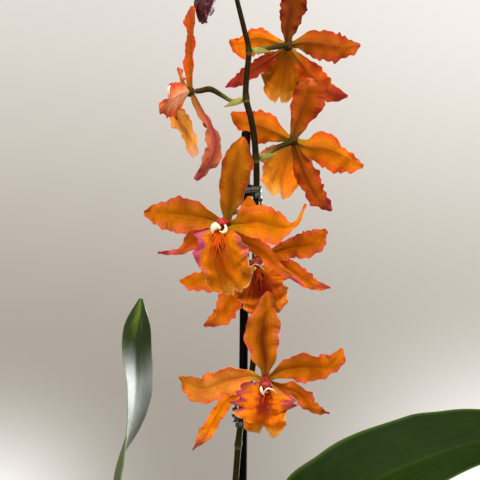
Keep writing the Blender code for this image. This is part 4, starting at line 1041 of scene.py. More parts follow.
def plant_material(
    name, veins, depth, bump, roughness, glow=0.0, speck=0.1, speck_scale=900, sheen=0.5, blush=0.0,
):
    """A material whose colour is the mesh's tint, with veins along the grain, specks and a fine bump.
    glow is the share of light that passes through, sheen the strength of its mirror part and blush that of
    its redder patches."""
    made, tree = new_material(name)
    tint = node(tree, "Attribute", attribute_name="tint").outputs["Color"]
    grain = node(tree, "UVMap", uv_map="grain").outputs[0]
    place = node(tree, "TexCoord").outputs["Object"]
    lines = noise(tree, scaled(tree, grain, (1.3, veins, 1)), 1.0, 4.0, 0.6, 0.25)
    cells = noise(tree, place, speck_scale, 3.0)
    patches = noise(tree, place, 90, 2.0)
    colour = times(tree, tint, lines, 1 - depth, 1 + depth * 0.6)
    colour = times(tree, colour, cells, 1 - speck, 1 + speck)
    colour = times(tree, colour, patches, 0.9, 1.1)
    if blush:
        mottle = noise(tree, place, 260, 4.0, 0.65, 0.4)
        redder = mixed(tree, 1.0, colour, (0.98, 0.66, 1.0, 1), "MULTIPLY")
        colour = mixed(tree, mapped(tree, mottle, 0.0, blush, 0.42, 0.66), colour, redder)
    height = maths(tree, "ADD", lines, maths(tree, "MULTIPLY", cells, 0.35))
    rough = mapped(tree, cells, roughness - 0.06, roughness + 0.06)
    finish_material(tree, colour, height, bump, 0.0004, rough, sheen, glow)
    return made


def plain_material(
    name, colour, dark, scale, bump, roughness, stretch=(1, 1, 1), distance=0.0005, sheen=0.5,
):
    """A material of two colours mixed by a noise, with a bump of the same noise."""
    made, tree = new_material(name)
    place = scaled(tree, node(tree, "TexCoord").outputs["Object"], stretch)
    patches = noise(tree, place, scale, 5.0, 0.6)
    fine = noise(tree, place, scale * 6, 3.0)
    tone = mixed(tree, mapped(tree, patches, 0.0, 1.0), (*dark, 1), (*colour, 1))
    tone = times(tree, tone, fine, 0.92, 1.06)
    height = maths(tree, "ADD", patches, maths(tree, "MULTIPLY", fine, 0.3))
    rough = mapped(tree, fine, roughness - 0.06, roughness + 0.08)
    finish_material(tree, tone, height, bump, distance, rough, sheen)
    return made


TEPAL = plant_material("tepal", 34, 0.26, 0.4, 0.55, glow=0.16, sheen=0.03, blush=0.75)
LIP = plant_material("lip", 40, 0.26, 0.4, 0.5, glow=0.16, sheen=0.04, blush=0.5)
LIP_BACKLIT = plant_material("lip_backlit", 40, 0.2, 0.4, 0.5, glow=0.5, sheen=0.04, blush=0.2)
COLUMN = plant_material("column", 14, 0.2, 0.2, 0.35, sheen=0.18)
CAP = plant_material("cap", 8, 0.06, 0.15, 0.4, sheen=0.25)
LEAF = plant_material("leaf", 60, 0.12, 0.1, 0.3, sheen=0.04, speck=0.05, speck_scale=500)
LEAF_GLOSS = plant_material("leaf_gloss", 60, 0.16, 0.3, 0.4, sheen=0.34, speck=0.05, speck_scale=500)
STEM_SKIN = plant_material("stem", 12, 0.28, 0.3, 0.42, speck=0.2, speck_scale=1500, sheen=0.03)
BRACT_SKIN = plant_material("bract", 22, 0.18, 0.3, 0.5, glow=0.2, sheen=0.1)
BUD = plant_material("bud", 26, 0.25, 0.3, 0.42, glow=0.08, sheen=0.25)
BULB = plant_material("pseudobulb", 20, 0.12, 0.3, 0.38, speck_scale=500)
STAKE = plain_material(
    "stake", (0.004, 0.003, 0.003), (0.001, 0.001, 0.001), 400, 0.15, 0.45, stretch=(1, 1, 0.08), sheen=0.015,
)
TIE = plain_material("tie", (0.018, 0.032, 0.02), (0.007, 0.013, 0.009), 900, 0.2, 0.2, sheen=0.8)
POT = plain_material("pot", (0.56, 0.53, 0.48), (0.48, 0.455, 0.41), 45, 0.12, 0.34)
CHIP = plant_material("bark", 5, 0.3, 0.9, 0.85, speck=0.35, speck_scale=700)


# Blooms


def bloom_frame(bloom):
    """The heart, the way the bloom faces, and its own up, towards the dorsal sepal."""
    heart = np.array(bloom["heart"], float)
    facing = unit(np.array(bloom["facing"], float))
    dorsal = np.array(bloom["dorsal"][0][1], float)
    return heart, facing, unit(dorsal - facing * facing.dot(dorsal))


def blade_of(midrib, facing, width, outline, seed, **more):
    blade = {
        "midrib": midrib, "faces": [facing, facing], "turns": (0, 0), "folds": TEPAL_FOLDS, "width": width,
        "outline": outline, "wave": TEPAL_WAVE, "round_end": 0, "notch": (0, 1), "seed": seed, "plain": 0.15,
        "teeth": 2.0, "frill": 0.32, "groove": 0.35, "jag": 0, "fan": 0, "scallop": 0,
    }
    blade.update(more)
    return blade


def make_tepals(number, bloom):
    heart, facing, _ = bloom_frame(bloom)
    body = Body()
    ball(body, heart, HEART_RADIUS, HEART_BROWN)
    tepals = [(bloom["dorsal"], SEPAL_LAYER)]
    tepals += [(petal, PETAL_LAYER) for petal in bloom["petals"]]
    tepals += [(sepal, SEPAL_LAYER) for sepal in bloom["sepals"]]
    for index, ((midrib, width, turns, outline), layer) in enumerate(tepals):
        midrib = [heart + facing * layer] + [heart + np.array(place) for place in midrib]
        seed = BLOOM_SEEDS * number + 2 * index
        tooth = TOOTH_SIZES[number] * (1 if index else DORSAL_TEETH)
        wave = TEPAL_WAVES.get((number, index), TEPAL_WAVE)
        blade = blade_of(midrib, facing, width, outline, seed, turns=turns, teeth=tooth, wave=wave)
        grid = blade_grid(blade, *TEPAL_GRID)
        own = OWN_COLOURS.get((number, index), {})
        front, back = {**TEPAL_FRONT, **own}, {**TEPAL_BACK, **own}
        tip_from = TIP_STARTS.get((number, index), SEPAL_TIP_START if index > 2 else PETAL_TIP_START)
        if index > 2:
            front["tip"] = back["tip"] = own.get("tip", SEPAL_TIP)
        # Each tepal's tone is partly its own colour and partly painted shade or light
        shade = TEPAL_TONES_AND_PAINTED_SHADE[number][index]
        edge_from = EDGE_STARTS.get(number, EDGE_START)
        tints = [blade_tint(side, grid, seed, edge_from, tip_from, shade) for side in (front, back)]
        blade_body(body, grid, TEPAL_THICKNESS, *tints)
    body.put(f"tepals_{number}", [TEPAL], [f"bloom_{number}_tepals"])


def lip_tint(number, blade, grid, colours, magenta, throat):
    """The tints of a lip: dark veins, painted light and shade on its ruffles, throat, pale folds and rim, and
    a magenta margin.
    """
    share, side = shares_of(grid)
    # The lip's tone is partly its own colour and partly painted light
    seed, shade = blade["seed"], LIP_TONES_AND_PAINTED_LIGHT[number]
    tip = LIP_TIPS.get(number, colours["tip"])
    tint = blade_tint({**colours, "tip": tip}, grid, seed, edge_from=0.8, tip_from=0.8) * shade
    edge = np.abs(side)
    angle = fan_angle(side * blade["width"] / 2, share)
    veins = fan_wave(seed + 11, angle * 3.2) + 0.5 * fan_wave(seed + 12, angle * 7)
    outer = np.maximum(edge, share)
    # Painted light and shade: the crests of the lip's own fan ruffles are painted paler and their hollows
    # darker
    ruffle = np.clip(fan_wave(seed + 507, angle), -1, 1)
    tint = tint * (1 + 0.2 * ruffle * ramp(outer, 0.2, 0.7))[..., None]
    tint = tint * (1 - 0.13 * np.clip(veins, 0, 1.5) * ramp(outer, 0.1, 0.5) * (1.1 - 0.5 * outer))[..., None]
    patch = cloud(seed + 9, share * 3, side * 2)
    spread = (0.22 + 0.45 * share) * THROAT_WIDTHS.get(number, 1)
    deep = (1 - ramp(edge / spread + 0.22 * veins, 0.25, 1.15)) * (1 - ramp(share + 0.05 * patch, 0.5, 0.82))
    tint = np.minimum(blend(tint, LIP_THROAT, deep * throat), LIP_PALEST)
    folds = ramp(fan_wave(seed + 13, angle * 4), 0.5, 1.1) * ramp(outer, 0.72, 0.97) * 0.4
    tint = blend(tint, LIP_PALE, folds)
    rim = np.maximum(ramp(share, 0.975, 0.995), ramp(edge, 0.97, 0.995) * ramp(share, 0.6, 0.75)) * 0.5
    tint = blend(tint, LIP_RIM, rim)
    start = LIP_EDGES.get(number, 0.68)
    margin = ramp(edge + 0.1 * patch, start, start + 0.27) * (1 - ramp(share + 0.06 * patch, 0.56, 0.72))
    if number == NARROW_MARGIN_LIP:
        margin = margin * np.where(side < 0, ramp(share, 0.14, 0.28) * ramp(edge, 0.7, 0.95) * 0.75, 1)
    return blend(tint, LIP_PURPLE if blade["jag"] > 1 else LIP_MAGENTA, margin * magenta)


def make_lip(number, bloom):
    heart, facing, up = bloom_frame(bloom)
    forward, above = LIP_START
    midrib, width, outline = bloom["lip"]
    midrib = [heart + facing * forward + up * above] + [heart + np.array(place) for place in midrib]
    blade = blade_of(
        midrib, facing, width, outline, BLOOM_SEEDS * number + LIP_SEED, folds=LIP_FOLDS,
        wave=LIP_WAVES.get(number, LIP_WAVE), round_end=LIP_ROUND_END, notch=LIP_NOTCHES[number],
        teeth=0.6, frill=0.3, groove=0.5, plain=0.08, fan=LIP_FANS.get(number, 2.0), jag=LIP_JAGS[number],
        scallop=LIP_SCALLOPS.get(number, 0.8), turns=(LIP_TURNS.get(number, 0),) * 2,
    )
    grid = blade_grid(blade, *LIP_GRID)
    body = Body()
    sides = ((LIP_FRONT, MARGINS[number], THROATS[number]), (LIP_BACK, MARGINS[number] * 0.6, 0))
    tints = [lip_tint(number, blade, grid, *side) for side in sides]
    blade_body(body, grid, LIP_THICKNESS, *tints)
    make_callus(body, grid, number)
    body.put(f"lip_{number}", [LIP if facing[1] < -0.5 else LIP_BACKLIT], [f"bloom_{number}_lip"])


def make_callus(body, grid, number):
    """The crest of thin fleshy fingers that hangs over the lip from its root."""
    draw = random.Random(900 + number)
    rows, columns = grid.shape[0] - 1, grid.shape[1] - 1
    normal = normals(grid)
    count, spread, reach, lift = CREST[number]
    for finger in range(count):
        side = spread * (2 * finger / (count - 1) - 1) + draw.uniform(-0.02, 0.02)
        long = (reach - 0.9 * abs(side)) * draw.uniform(0.75, 1.1)
        points = []
        for step, height in enumerate((0.4, 1.5 * lift, 1.9 * lift, draw.uniform(0.9, 2.2) * lift)):
            i = round(rows * (0.04 + long * step / 3))
            j = round(columns * (0.5 + side * (0.3 + 0.3 * step)) + draw.uniform(-0.9, 0.9) * step)
            points.append(grid[i, j] + normal[i, j] * height)
        rings, grain = tube_rings(points, [0.45, 0.65, 0.45, 0.18], 10, 18)
        tone = np.array(CALLUS[number]) * draw.uniform(0.8, 1.15)
        low = ramp(grain[..., 0], 0.0, 0.3)[..., None]
        rings_body(body, rings, grain, np.array(CALLUS_ROOT) * (1 - low) + tone * low)


def make_column(number, bloom):
    """The red column with its hood, and the cream anther cap with the two cream lobes beside it."""
    heart, facing, up = bloom_frame(bloom)
    across = np.cross(facing, up)
    bend = COLUMN_BEND[number]
    lean = across * COLUMN_LEAN.get(number, 0)
    path = [
        heart + facing * forward + up * (above + bend * step / 2) + lean * step / 2
        for step, (forward, above) in enumerate(COLUMN_PATH)
    ]
    way = unit(path[-1] - path[-2])
    over = unit(up - way * up.dot(way))
    body = Body()
    share = np.linspace(0, 1, COLUMN_STATIONS)
    radii = between(COLUMN_RADII, share) * COLUMN_SIZE[number] * (1 - 0.45 * ramp(share, 0.82, 1) ** 2)
    rings, grain = tube_rings(path, radii, 36, COLUMN_STATIONS)
    share = grain[..., 0]
    middle = rings.mean(1, keepdims=True)
    rise = ((rings - middle) * over).sum(-1)
    high = ramp(rise, -1.2, 1.8)
    rings = rings + way * (1.5 * high * ramp(share, 0.75, 1))[..., None]
    hollow = ramp(share, 0.7, 1) * (1 - ramp(rise, -1.6, 0.2))
    rings = rings + over * (0.9 * hollow)[..., None]
    # The column's underside is painted darker, as painted shade
    tint = blend(np.array(COLUMN_REDS.get(number, COLUMN_RED)), COLUMN_PAINTED_SHADE, 1 - ramp(rise, -1.0, 1.2))
    # Paler patches on the upper side towards the tip are a painted highlight
    painted_highlight = ramp(cloud(number, share * 4, grain[..., 1] * 6), 0.1, 0.9) * ramp(share, 0.4, 0.9) * high * 0.5
    rings_body(body, rings, grain, blend(tint, COLUMN_PAINTED_HIGHLIGHT, painted_highlight))
    body.put(f"column_{number}", [COLUMN], [f"bloom_{number}_column"])

    wide, tall, long = CAP_HALF
    body = Body()
    centre = path[-1] + way * (GAP + long + 0.2) - over * 0.9
    rows = math.pi * (np.arange(16) + 0.5) / 16
    angle = circle(28)
    beak = 1 + 0.35 * np.exp(-((angle - 1.5 * math.pi) / 0.5) ** 2)[None, :] * np.sin(rows)[:, None]
    rings = centre + (
        across * (0.8 * wide * np.sin(rows)[:, None] * np.cos(angle))[..., None]
        + over * (tall * np.sin(rows)[:, None] * np.sin(angle) * beak)[..., None]
        - way * (long * np.cos(rows)[:, None] + 0 * angle)[..., None]
    )
    rings_body(body, rings, grain_of(rows, angle), CAP_CREAMS.get(number, CAP_CREAM))
    for turn, lobe in zip((1, -1), LOBE_PAIRS[number]):
        steps, radii = LOBES[lobe]
        rise = LOBE_RISES.get(number, 0)
        points = [
            path[-1] + across * turn * out + way * (ahead + 0.5) + over * (rise - down)
            for out, ahead, down in steps
        ]
        rings, grain = tube_rings(points, np.array(radii) * LOBE_SIZES.get(number, 1), 18, 26)
        middle = rings.mean(1, keepdims=True)
        flat = ((rings - middle) * way).sum(-1, keepdims=True)
        rings = rings - way * flat * 0.45
        cream, yellow = np.array(LOBE_CREAMS.get(number, LOBE_CREAM)), np.array(LOBE_YELLOW)
        low = ramp(grain[..., 0], 0.55, 1)[..., None] * 0.6
        rings_body(body, rings, grain, cream * (1 - low) + yellow * low)
    body.put(f"cap_{number}", [CAP], [f"bloom_{number}_cap"])


# Spike


def stem_tint(share, angle, seed, base=STEM_BROWN):
    stripe = cloud(seed, share * 8, angle * TURN * 2)
    return np.array(base) * (1 + 0.45 * stripe[..., None])


def make_spike():
    body = Body()
    radii = [STEM_ROOT_RADIUS, STEM_RADIUS + 0.2, STEM_RADIUS, STEM_RADIUS, STEM_RADIUS, STEM_TIP_RADIUS]
    stations, sides = 640, 20
    places = smooth_path(STEM, stations)
    nodes = [bloom["pedicel"][0][2] for bloom in BLOOMS.values()] + [path[0][2] for path, *_ in BUDS.values()]
    nodes += PLAIN_NODES
    rings, grain = tube_rings(STEM, radii, sides, stations)
    swell = np.zeros(stations)
    scar = np.zeros(stations)
    for height in nodes:
        away = places[:, 2] - height
        swell += 0.35 * np.exp(-((away / 2.2) ** 2))
        scar += np.exp(-((away + 1.4) / 0.45) ** 2)
    rings = resized(rings, 1 + (swell - 0.12 * scar)[:, None, None] / STEM_RADIUS)
    tint = stem_tint(grain[..., 0] * 9, grain[..., 1], 5)
    pale = np.clip(scar + 0.4 * swell, 0, 1)[:, None, None]
    low = (1 - ramp(places[:, 2], 318, 345))[:, None, None]
    tint = tint + (np.array(STEM_LOW) - tint) * low * 0.6
    tint = tint + (np.array(STEM_SCAR) - tint) * pale * 0.5
    rings_body(body, rings, grain * (60, 1), tint)
    for number, bloom in BLOOMS.items():
        heart, facing, _ = bloom_frame(bloom)
        end = heart - facing * (HEART_RADIUS + GAP)
        path = bloom["pedicel"] + [end - facing * 2, end]
        thick = [
            PEDICEL_RADIUS + 0.15, PEDICEL_RADIUS, PEDICEL_RADIUS + 0.2, OVARY_RADIUS, OVARY_RADIUS - 0.2,
        ]
        rings, grain = tube_rings(path, thick, 18, 70)
        share, angle = grain[..., 0], grain[..., 1]
        ridge = 1 + 0.07 * np.cos(3 * TURN * (angle + share * 0.6)) * ramp(share, 0.35, 0.8)
        tint = stem_tint(share * 2, angle, 50 + number, PEDICEL_BROWN)
        tint = blend(tint, PEDICEL_GREEN, (1 - ramp(share, 0.1, 0.6)) * 0.75)
        tint = blend(tint, np.array(HEART_BROWN) * 0.7, ramp(share, 0.7, 0.92))
        rings_body(body, resized(rings, ridge[..., None]), grain * (12, 1), tint)
    for path, base, _, _ in BUDS.values():
        way = unit(np.array(base, float) - np.array(path[-1], float))
        rings, grain = tube_rings([*path, np.array(base) - way * GAP], [0.8, 0.8, 1.1], 14, 40)
        rings_body(body, rings, grain * (10, 1), stem_tint(grain[..., 0] * 2, grain[..., 1], 77, BUD_STALK))
    for number, bloom in BLOOMS.items():
        near, far = np.array(bloom["pedicel"][0], float), np.array(bloom["pedicel"][1], float)
        reach = unit(far - near)
        below = unit(reach * reach.dot(UP) - UP)
        far_end = near + reach * BRACT_LENGTH + below * 2.6
        midrib = [near + below * 1.2, near + reach * BRACT_LENGTH / 2 + below * 2.4, far_end]
        blade = blade_of(
            midrib, -below, BRACT_WIDTH, ("bract", "bract"), number, folds=BRACT_FOLDS, wave=0, teeth=0,
            frill=0.1, groove=-0.3,
        )
        grid = blade_grid(blade, *BRACT_GRID)
        tint = blade_tint(BRACT, grid, number, edge_from=0.8, tip_from=0.8)
        blade_body(body, grid, (0.35, 0.6), tint * 0.8, tint, slot=1)
    body.put("flower_spike", [STEM_SKIN, BRACT_SKIN], ["spike"])


def make_buds():
    for name, (_, base, tip, radius) in BUDS.items():
        base, tip = np.array(base, float), np.array(tip, float)
        along = unit(tip - base)
        first = unit(np.cross(along, (0.3, 1.0, 0.1)))
        second = np.cross(along, first)
        rows = (1 - np.cos(np.linspace(0.02, 0.985, 44) * math.pi)) / 2
        angle = circle(40)
        width = outline_at(BUD_OUTLINE, rows)
        seam = np.abs(np.cos(1.5 * (angle[None, :] + 0.5 * rows[:, None]))) ** 0.35
        body = Body()
        reach = radius * width[:, None] * (0.86 + 0.13 * seam)
        rings = base + (tip - base) * rows[:, None, None]
        rings = rings + first * (np.cos(angle) * reach)[..., None]
        rings = rings + second * (np.sin(angle) * reach)[..., None]
        grain = grain_of(rows, angle / TURN)
        dark, light = BUD_COLOURS[name == "bud_opening"]
        patch = ramp(cloud(31, rows[:, None] * 5, np.cos(angle)[None, :] * 2), -0.3, 1)
        tint = blend(np.array(dark), light, patch * 0.6 + 0.3 * (1 - seam))
        rings_body(body, rings, grain * (3, 1), tint)
        if name == "bud_opening":
            for step in range(3):
                turn = TURN * (step / 3 + 0.08)
                out = first * math.cos(turn) + second * math.sin(turn)
                midrib = [base + (tip - base) * at + out * radius * far for at, far in BUD_SEPAL_PATH]
                blade = blade_of(
                    midrib, out, 8.6, ("oval", "oval"), 300 + step, folds=(-40, -25), teeth=1.1, frill=0.4,
                )
                grid = blade_grid(blade, 50, 20)
                tints = [blade_tint(side, grid, step) for side in (BUD_SEPAL, BUD_SEPAL_BACK)]
                blade_body(body, grid, (0.35, 0.7), *tints)
        body.put(f"{name}_skin", [BUD], [name])


# Leaves and pseudobulbs


def leaf_tint(colours, grid, seed):
    """The tints of a leaf, with fine paler lines along it and a thin pale edge."""
    tint = blade_tint({**colours, "edge": colours["body"]}, grid, seed, tip_from=0.93)
    share, side = shares_of(grid)
    lines = 0.5 + 0.5 * np.cos(side * 34 + 0.4 * np.sin(share * 5 + seed))
    tint = tint * (1 + 0.22 * (lines - 0.4) * ramp(share, 0.1, 0.4))[..., None]
    rim = ramp(np.abs(side) + 0 * share, 0.955, 1.0) * ramp(share, 0.12, 0.4) * 0.8
    return blend(tint, colours["edge"], rim)


def make_leaves():
    for index, (name, leaf) in enumerate(LEAVES.items()):
        midrib = [np.array(place, float) for place in leaf["midrib"]]
        if leaf["bulb"]:
            midrib[0] = midrib[0] + UP * (GAP + 0.2)
        blade = blade_of(
            midrib, UP, leaf["width"], leaf["outline"], 100 + 2 * index, faces=leaf["faces"],
            folds=LEAF_FOLDS, wave=0.8, teeth=0, frill=0.12, groove=0.5,
        )
        grid = blade_grid(blade, *LEAF_GRID)
        body = Body()
        tints = [leaf_tint(side, grid, index) for side in (LEAF_FRONT, LEAF_BACK)]
        blade_body(body, grid, LEAF_THICKNESS, *tints)
        body.put(f"{name}_blade", [LEAF_GLOSS if name == "leaf_left" else LEAF], [name])


def make_pseudobulbs():
    body = Body()
    for number, bulb in BULBS.items():
        wide, deep = bulb["half"]
        x, y = bulb["place"]
        lean_x, lean_y = bulb["lean"]
        share = np.concatenate([[0.004], np.linspace(0.02, 1, 60)])
        angle = circle(72)
        width = outline_at([(0, 0.12), *BULB_WIDTHS], share)[:, None]
        ridge = 0.5 + 0.5 * np.cos(11 * angle[None, :] + 0.8 * number)
        ridge = 1 - 0.035 * ridge * ramp(share, 0.1, 0.4)[:, None]
        ridge = ridge + 0.012 * cloud(number, share[:, None] * 3, angle[None, :])
        rings = np.stack([
            x + lean_x * share[:, None] + wide * width * ridge * np.cos(angle),
            y + lean_y * share[:, None] + deep * width * ridge * np.sin(angle),
            BULB_FOOT + (bulb["top"] - BULB_FOOT) * share[:, None] + 0 * angle,
        ], axis=-1)
        patch = cloud(number + 3, share[:, None] * 4, angle[None, :])
        tint = np.array(BULB_GREEN) * (1 + 0.2 * patch[..., None])
        tint = blend(tint, BULB_FOOT_BROWN, (1 - ramp(share, 0.18, 0.4))[:, None] * 0.8)
        tint = blend(tint, BULB_TOP_GREEN, ramp(share, 0.93, 1)[:, None] * 0.6)
        rings_body(body, rings, grain_of(share, angle / TURN) * (2, 1), tint)
    points = [(*bulb["place"], RHIZOME_HEIGHT) for bulb in BULBS.values()]
    radii = RHIZOME_RADIUS * (1 + 0.06 * np.sin(np.linspace(0, 1, RHIZOME_STATIONS) * 70))
    rings, grain = tube_rings(points, radii, 24, RHIZOME_STATIONS)
    rings_body(body, rings, grain, (0.14, 0.1, 0.04))
    body.put("pseudobulb_skins", [BULB], ["pseudobulbs"])


# Pot, bark, stake and ties


def pot_inner_radius(height):
    slope = (POT_TOP_RADIUS - POT_FOOT_RADIUS) / POT_HEIGHT
    return POT_FOOT_RADIUS + slope * height - POT_WALL


def make_pot():
    rim_foot = POT_HEIGHT - POT_RIM_HEIGHT
    outer = POT_WALL + pot_inner_radius(rim_foot)
    rim = POT_TOP_RADIUS + POT_RIM_STEP
    inside = pot_inner_radius(POT_HEIGHT)
    corners = [
        (POT_FOOT_RADIUS - POT_EDGE, 0), (POT_FOOT_RADIUS, POT_EDGE), (outer, rim_foot),
        (rim - POT_EDGE / 2, rim_foot + POT_EDGE), (rim, POT_HEIGHT - POT_EDGE), (rim - POT_EDGE, POT_HEIGHT),
        (inside + POT_EDGE, POT_HEIGHT), (inside, POT_HEIGHT - POT_EDGE),
        (pot_inner_radius(POT_FLOOR), POT_FLOOR),
    ]
    profile = [corners[0]]
    for (r0, z0), (r1, z1), (r2, z2) in zip(corners, corners[1:], corners[2:]):
        before, after = np.array((r0 - r1, z0 - z1)), np.array((r2 - r1, z2 - z1))
        cut = min(1.2, np.linalg.norm(before) * 0.45, np.linalg.norm(after) * 0.45)
        start, end = np.array((r1, z1)) + unit(before) * cut, np.array((r1, z1)) + unit(after) * cut
        for step in range(6):
            t = step / 5
            profile.append(tuple((1 - t) ** 2 * start + 2 * t * (1 - t) * np.array((r1, z1)) + t * t * end))
    profile.append(corners[-1])
    angle = circle(144)
    rows = np.array(profile)
    rings = np.stack([
        rows[:, :1] * np.cos(angle), rows[:, :1] * np.sin(angle), rows[:, 1:] + 0 * angle,
    ], axis=-1)
    body = Body()
    rings_body(body, rings, grain_of(rows[:, 1] / POT_HEIGHT, angle / TURN), (0.7, 0.67, 0.61))
    body.put("pot_glaze", [POT], ["pot"], sharp=60)


def bark_chip(body, draw, centre):
    """A chunk of bark with worn corners and an uneven surface, turned any way."""
    half = np.array((draw.uniform(3.2, 6.2), draw.uniform(2.2, 4.2), draw.uniform(1.2, 2.6)))
    yaw, pitch, roll = draw.uniform(0, TURN), draw.uniform(-0.6, 0.6), draw.uniform(-0.5, 0.5)
    turn = turned(yaw, pitch, roll)
    places = sphere(7, 12)[0]
    x, y, z = places[..., 0], places[..., 1], places[..., 2]
    boxy = np.sign(places) * np.abs(places) ** CHIP_ROUNDNESS
    boxy = boxy / np.abs(boxy).max()
    rough = 1 + 0.12 * cloud(draw.random(), x * 2, y * 2 + z * 3)
    rings = centre + (boxy * rough[..., None] * half) @ turn.T
    tone = draw.choice(CHIP_TONES)
    grain = np.stack([x * 0.7 + draw.random(), y], axis=-1)
    rings_body(body, rings, grain, np.array(tone) * draw.uniform(0.8, 1.2))


def turned(yaw, pitch, roll):
    """A turn about the upright axis, then two about the level ones."""
    ca, sa, cb, sb, cc, sc = (f(v) for v in (yaw, pitch, roll) for f in (math.cos, math.sin))
    about_z = np.array(((ca, -sa, 0), (sa, ca, 0), (0, 0, 1)))
    about_x = np.array(((1, 0, 0), (0, cb, -sb), (0, sb, cb)))
    about_y = np.array(((cc, 0, sc), (0, 1, 0), (-sc, 0, cc)))
    return about_z @ about_x @ about_y


def make_bark():
    """Loose chips over the potting mix, clear of what stands in it."""
    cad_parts["bark_mix"].data.materials[0] = BARK
    draw = random.Random(11)
    body = Body()
    keep_out = [
        (np.array(STEM[0][:2]), STEM_ROOT_RADIUS), (np.array(STAKE_FOOT[:2]) + (0.8, 0), STAKE_RADIUS),
    ]
    keep_out += [(np.array(leaf["midrib"][0][:2]), 4.5) for leaf in LEAVES.values() if leaf["bulb"] is None]
    for bulb in BULBS.values():
        for side in (-0.6, 0, 0.6):
            spot = np.array(bulb["place"]) + (bulb["half"][0] * side, 0)
            keep_out.append((spot, max(7.5, bulb["half"][1] * 0.9)))
    placed = 0
    while placed < CHIPS:
        reach, angle = 52 * math.sqrt(draw.random()), draw.uniform(0, TURN)
        spot = np.array((reach * math.cos(angle), reach * math.sin(angle)))
        if reach + 5.5 > pot_inner_radius(BARK_TOP) - GAP:
            continue
        if any(np.linalg.norm(spot - centre) < radius + 5 for centre, radius in keep_out):
            continue
        bark_chip(body, draw, np.array((*spot, BARK_TOP + draw.uniform(-0.6, 2.6))))
        placed += 1
    body.put("bark_chips", [CHIP], sharp=40)


def make_stake():
    foot, tip = np.array(STAKE_FOOT, float), np.array(STAKE_TIP, float)
    along = unit(tip - foot)
    first = unit(np.cross(along, (0, 1.0, 0)))
    second = np.cross(along, first)
    length = np.linalg.norm(tip - foot)
    stops = [(0, 0.5), (8, STAKE_RADIUS)] + [(at, STAKE_RADIUS) for at in np.linspace(20, length - 2.2, 30)]
    stops += [(length - back, STAKE_RADIUS * share) for back, share in STAKE_END]
    angle = circle(32)
    rings = np.array([
        foot + along * at + (first * np.cos(angle)[:, None] + second * np.sin(angle)[:, None]) * radius
        for at, radius in stops
    ])
    grain = grain_of(np.array([at for at, _ in stops]) / 40, angle / TURN)
    body = Body()
    rings_body(body, rings, grain, (0.016, 0.015, 0.014))
    body.put("stake_rod", [STAKE], ["stake"], sharp=50)


def place_at(places, height):
    """Where a row of places that rises all the way passes a height, with no height of its own."""
    return np.array([np.interp(height, places[:, 2], places[:, axis]) for axis in (0, 1)] + [0.0])


def loop_place(first, second, radii, turn):
    """A place on the outline round two circles, with the way out from it. turn is in turns."""
    way = unit(second - first)
    start = math.atan2(way[1], way[0])
    gap = np.linalg.norm(second - first)
    arcs = [math.pi * radii[1], gap, math.pi * radii[0], gap]
    left = (turn % 1) * sum(arcs)
    side = np.array((-way[1], way[0], 0))
    if left < arcs[0]:
        angle = start - math.pi / 2 + left / radii[1]
        out = np.array((math.cos(angle), math.sin(angle), 0))
        return second + out * radii[1], out
    left -= arcs[0]
    if left < gap:
        share = left / gap
        return (second + side * radii[1]) * (1 - share) + (first + side * radii[0]) * share, side
    left -= gap
    if left < arcs[2]:
        angle = start + math.pi / 2 + left / radii[0]
        out = np.array((math.cos(angle), math.sin(angle), 0))
        return first + out * radii[0], out
    share = (left - arcs[2]) / gap
    return (first - side * radii[0]) * (1 - share) + (second - side * radii[1]) * share, -side


def strip_section(centre, out, up, half_height, ribs):
    """A ring across a flat strip with a round wire along its middle."""
    ring = []
    count = 11
    for side in (1, -1):
        for step in range(count):
            v = (2 * step / (count - 1) - 1) * side
            bulge = 0.24 + 0.2 * math.exp(-((v / 0.22) ** 2)) + ribs
            bulge *= 1 if abs(v) < 1 else 0.6
            ring.append(centre + out * bulge * side + up * v * half_height)
    return ring


def make_ties():
    stake = np.array([STAKE_FOOT, STAKE_TIP], float)
    stem = smooth_path(STEM, 300)
    for name, tie in TIES.items():
        body = Body()
        low, high, turns, height = tie["band"]
        middle_gap = TIE_SLACK + TIE_THICKNESS / 2
        radii = (STAKE_RADIUS + middle_gap, STEM_RADIUS + middle_gap)
        rings = []
        stations = round(turns * 110)
        for step in range(stations + 1):
            share = step / stations
            middle = low + (high - low) * share
            feet = (place_at(stake, middle), place_at(stem, middle))
            spot, out = loop_place(*feet, radii, share * turns)
            ribs = 0.05 * math.cos(TURN * step / 5)
            rings.append(strip_section(spot + UP * middle, out, UP, height / 2, ribs))
        grain = grain_of(np.linspace(0, 12, len(rings)), np.linspace(0, 1, len(rings[0])))
        rings_body(body, rings, grain, TIE_GREEN)
        points, wide_half, tail_turns = tie["tail"]
        places = smooth_path(points, 90)
        along, _, _ = frames(places)
        rings = []
        for step, (place, way) in enumerate(zip(places, along)):
            share = step / (len(places) - 1)
            side = unit(np.cross(way, (0, 1.0, 0)))
            turn = TURN * tail_turns * share
            wide = side * math.cos(turn) + np.cross(way, side) * math.sin(turn)
            deep = np.cross(way, wide)
            half, ribs = wide_half * (1 - 0.4 * share**3), 0.1 * math.cos(TURN * step / 5)
            rings.append(strip_section(place, deep, wide, half, ribs))
        grain = grain_of(np.linspace(0, 8, len(rings)), np.linspace(0, 1, len(rings[0])))
        rings_body(body, rings, grain, TIE_GREEN)
        body.put(f"{name}_strip", [TIE], [name], sharp=50)


# Surroundings

# Floor: radii and heights of its top and edge, in metres
FLOOR_PROFILE = [(0.06, 0.0), (0.2, 0.0), (0.34, 0.0), (0.446, 0.0), (0.45, -0.002), (0.45, -0.012)]

# Surround: its tones from low to high, and its pale patches by place, half sizes and strength
WALL_TONES = [
    (0.0, 0.345), (0.05, 0.35), (0.15, 0.37), (0.25, 0.42), (0.36, 0.505), (0.5, 0.62), (0.6, 0.7),
    (0.7, 0.76), (1.0, 0.85),
]
WALL_GLOWS = [
    (-0.21, -0.23, 0.085, 0.075, 0.8), (0.24, -0.2, 0.13, 0.09, 0.88), (0.27, 0.18, 0.26, 0.3, 0.2),
]


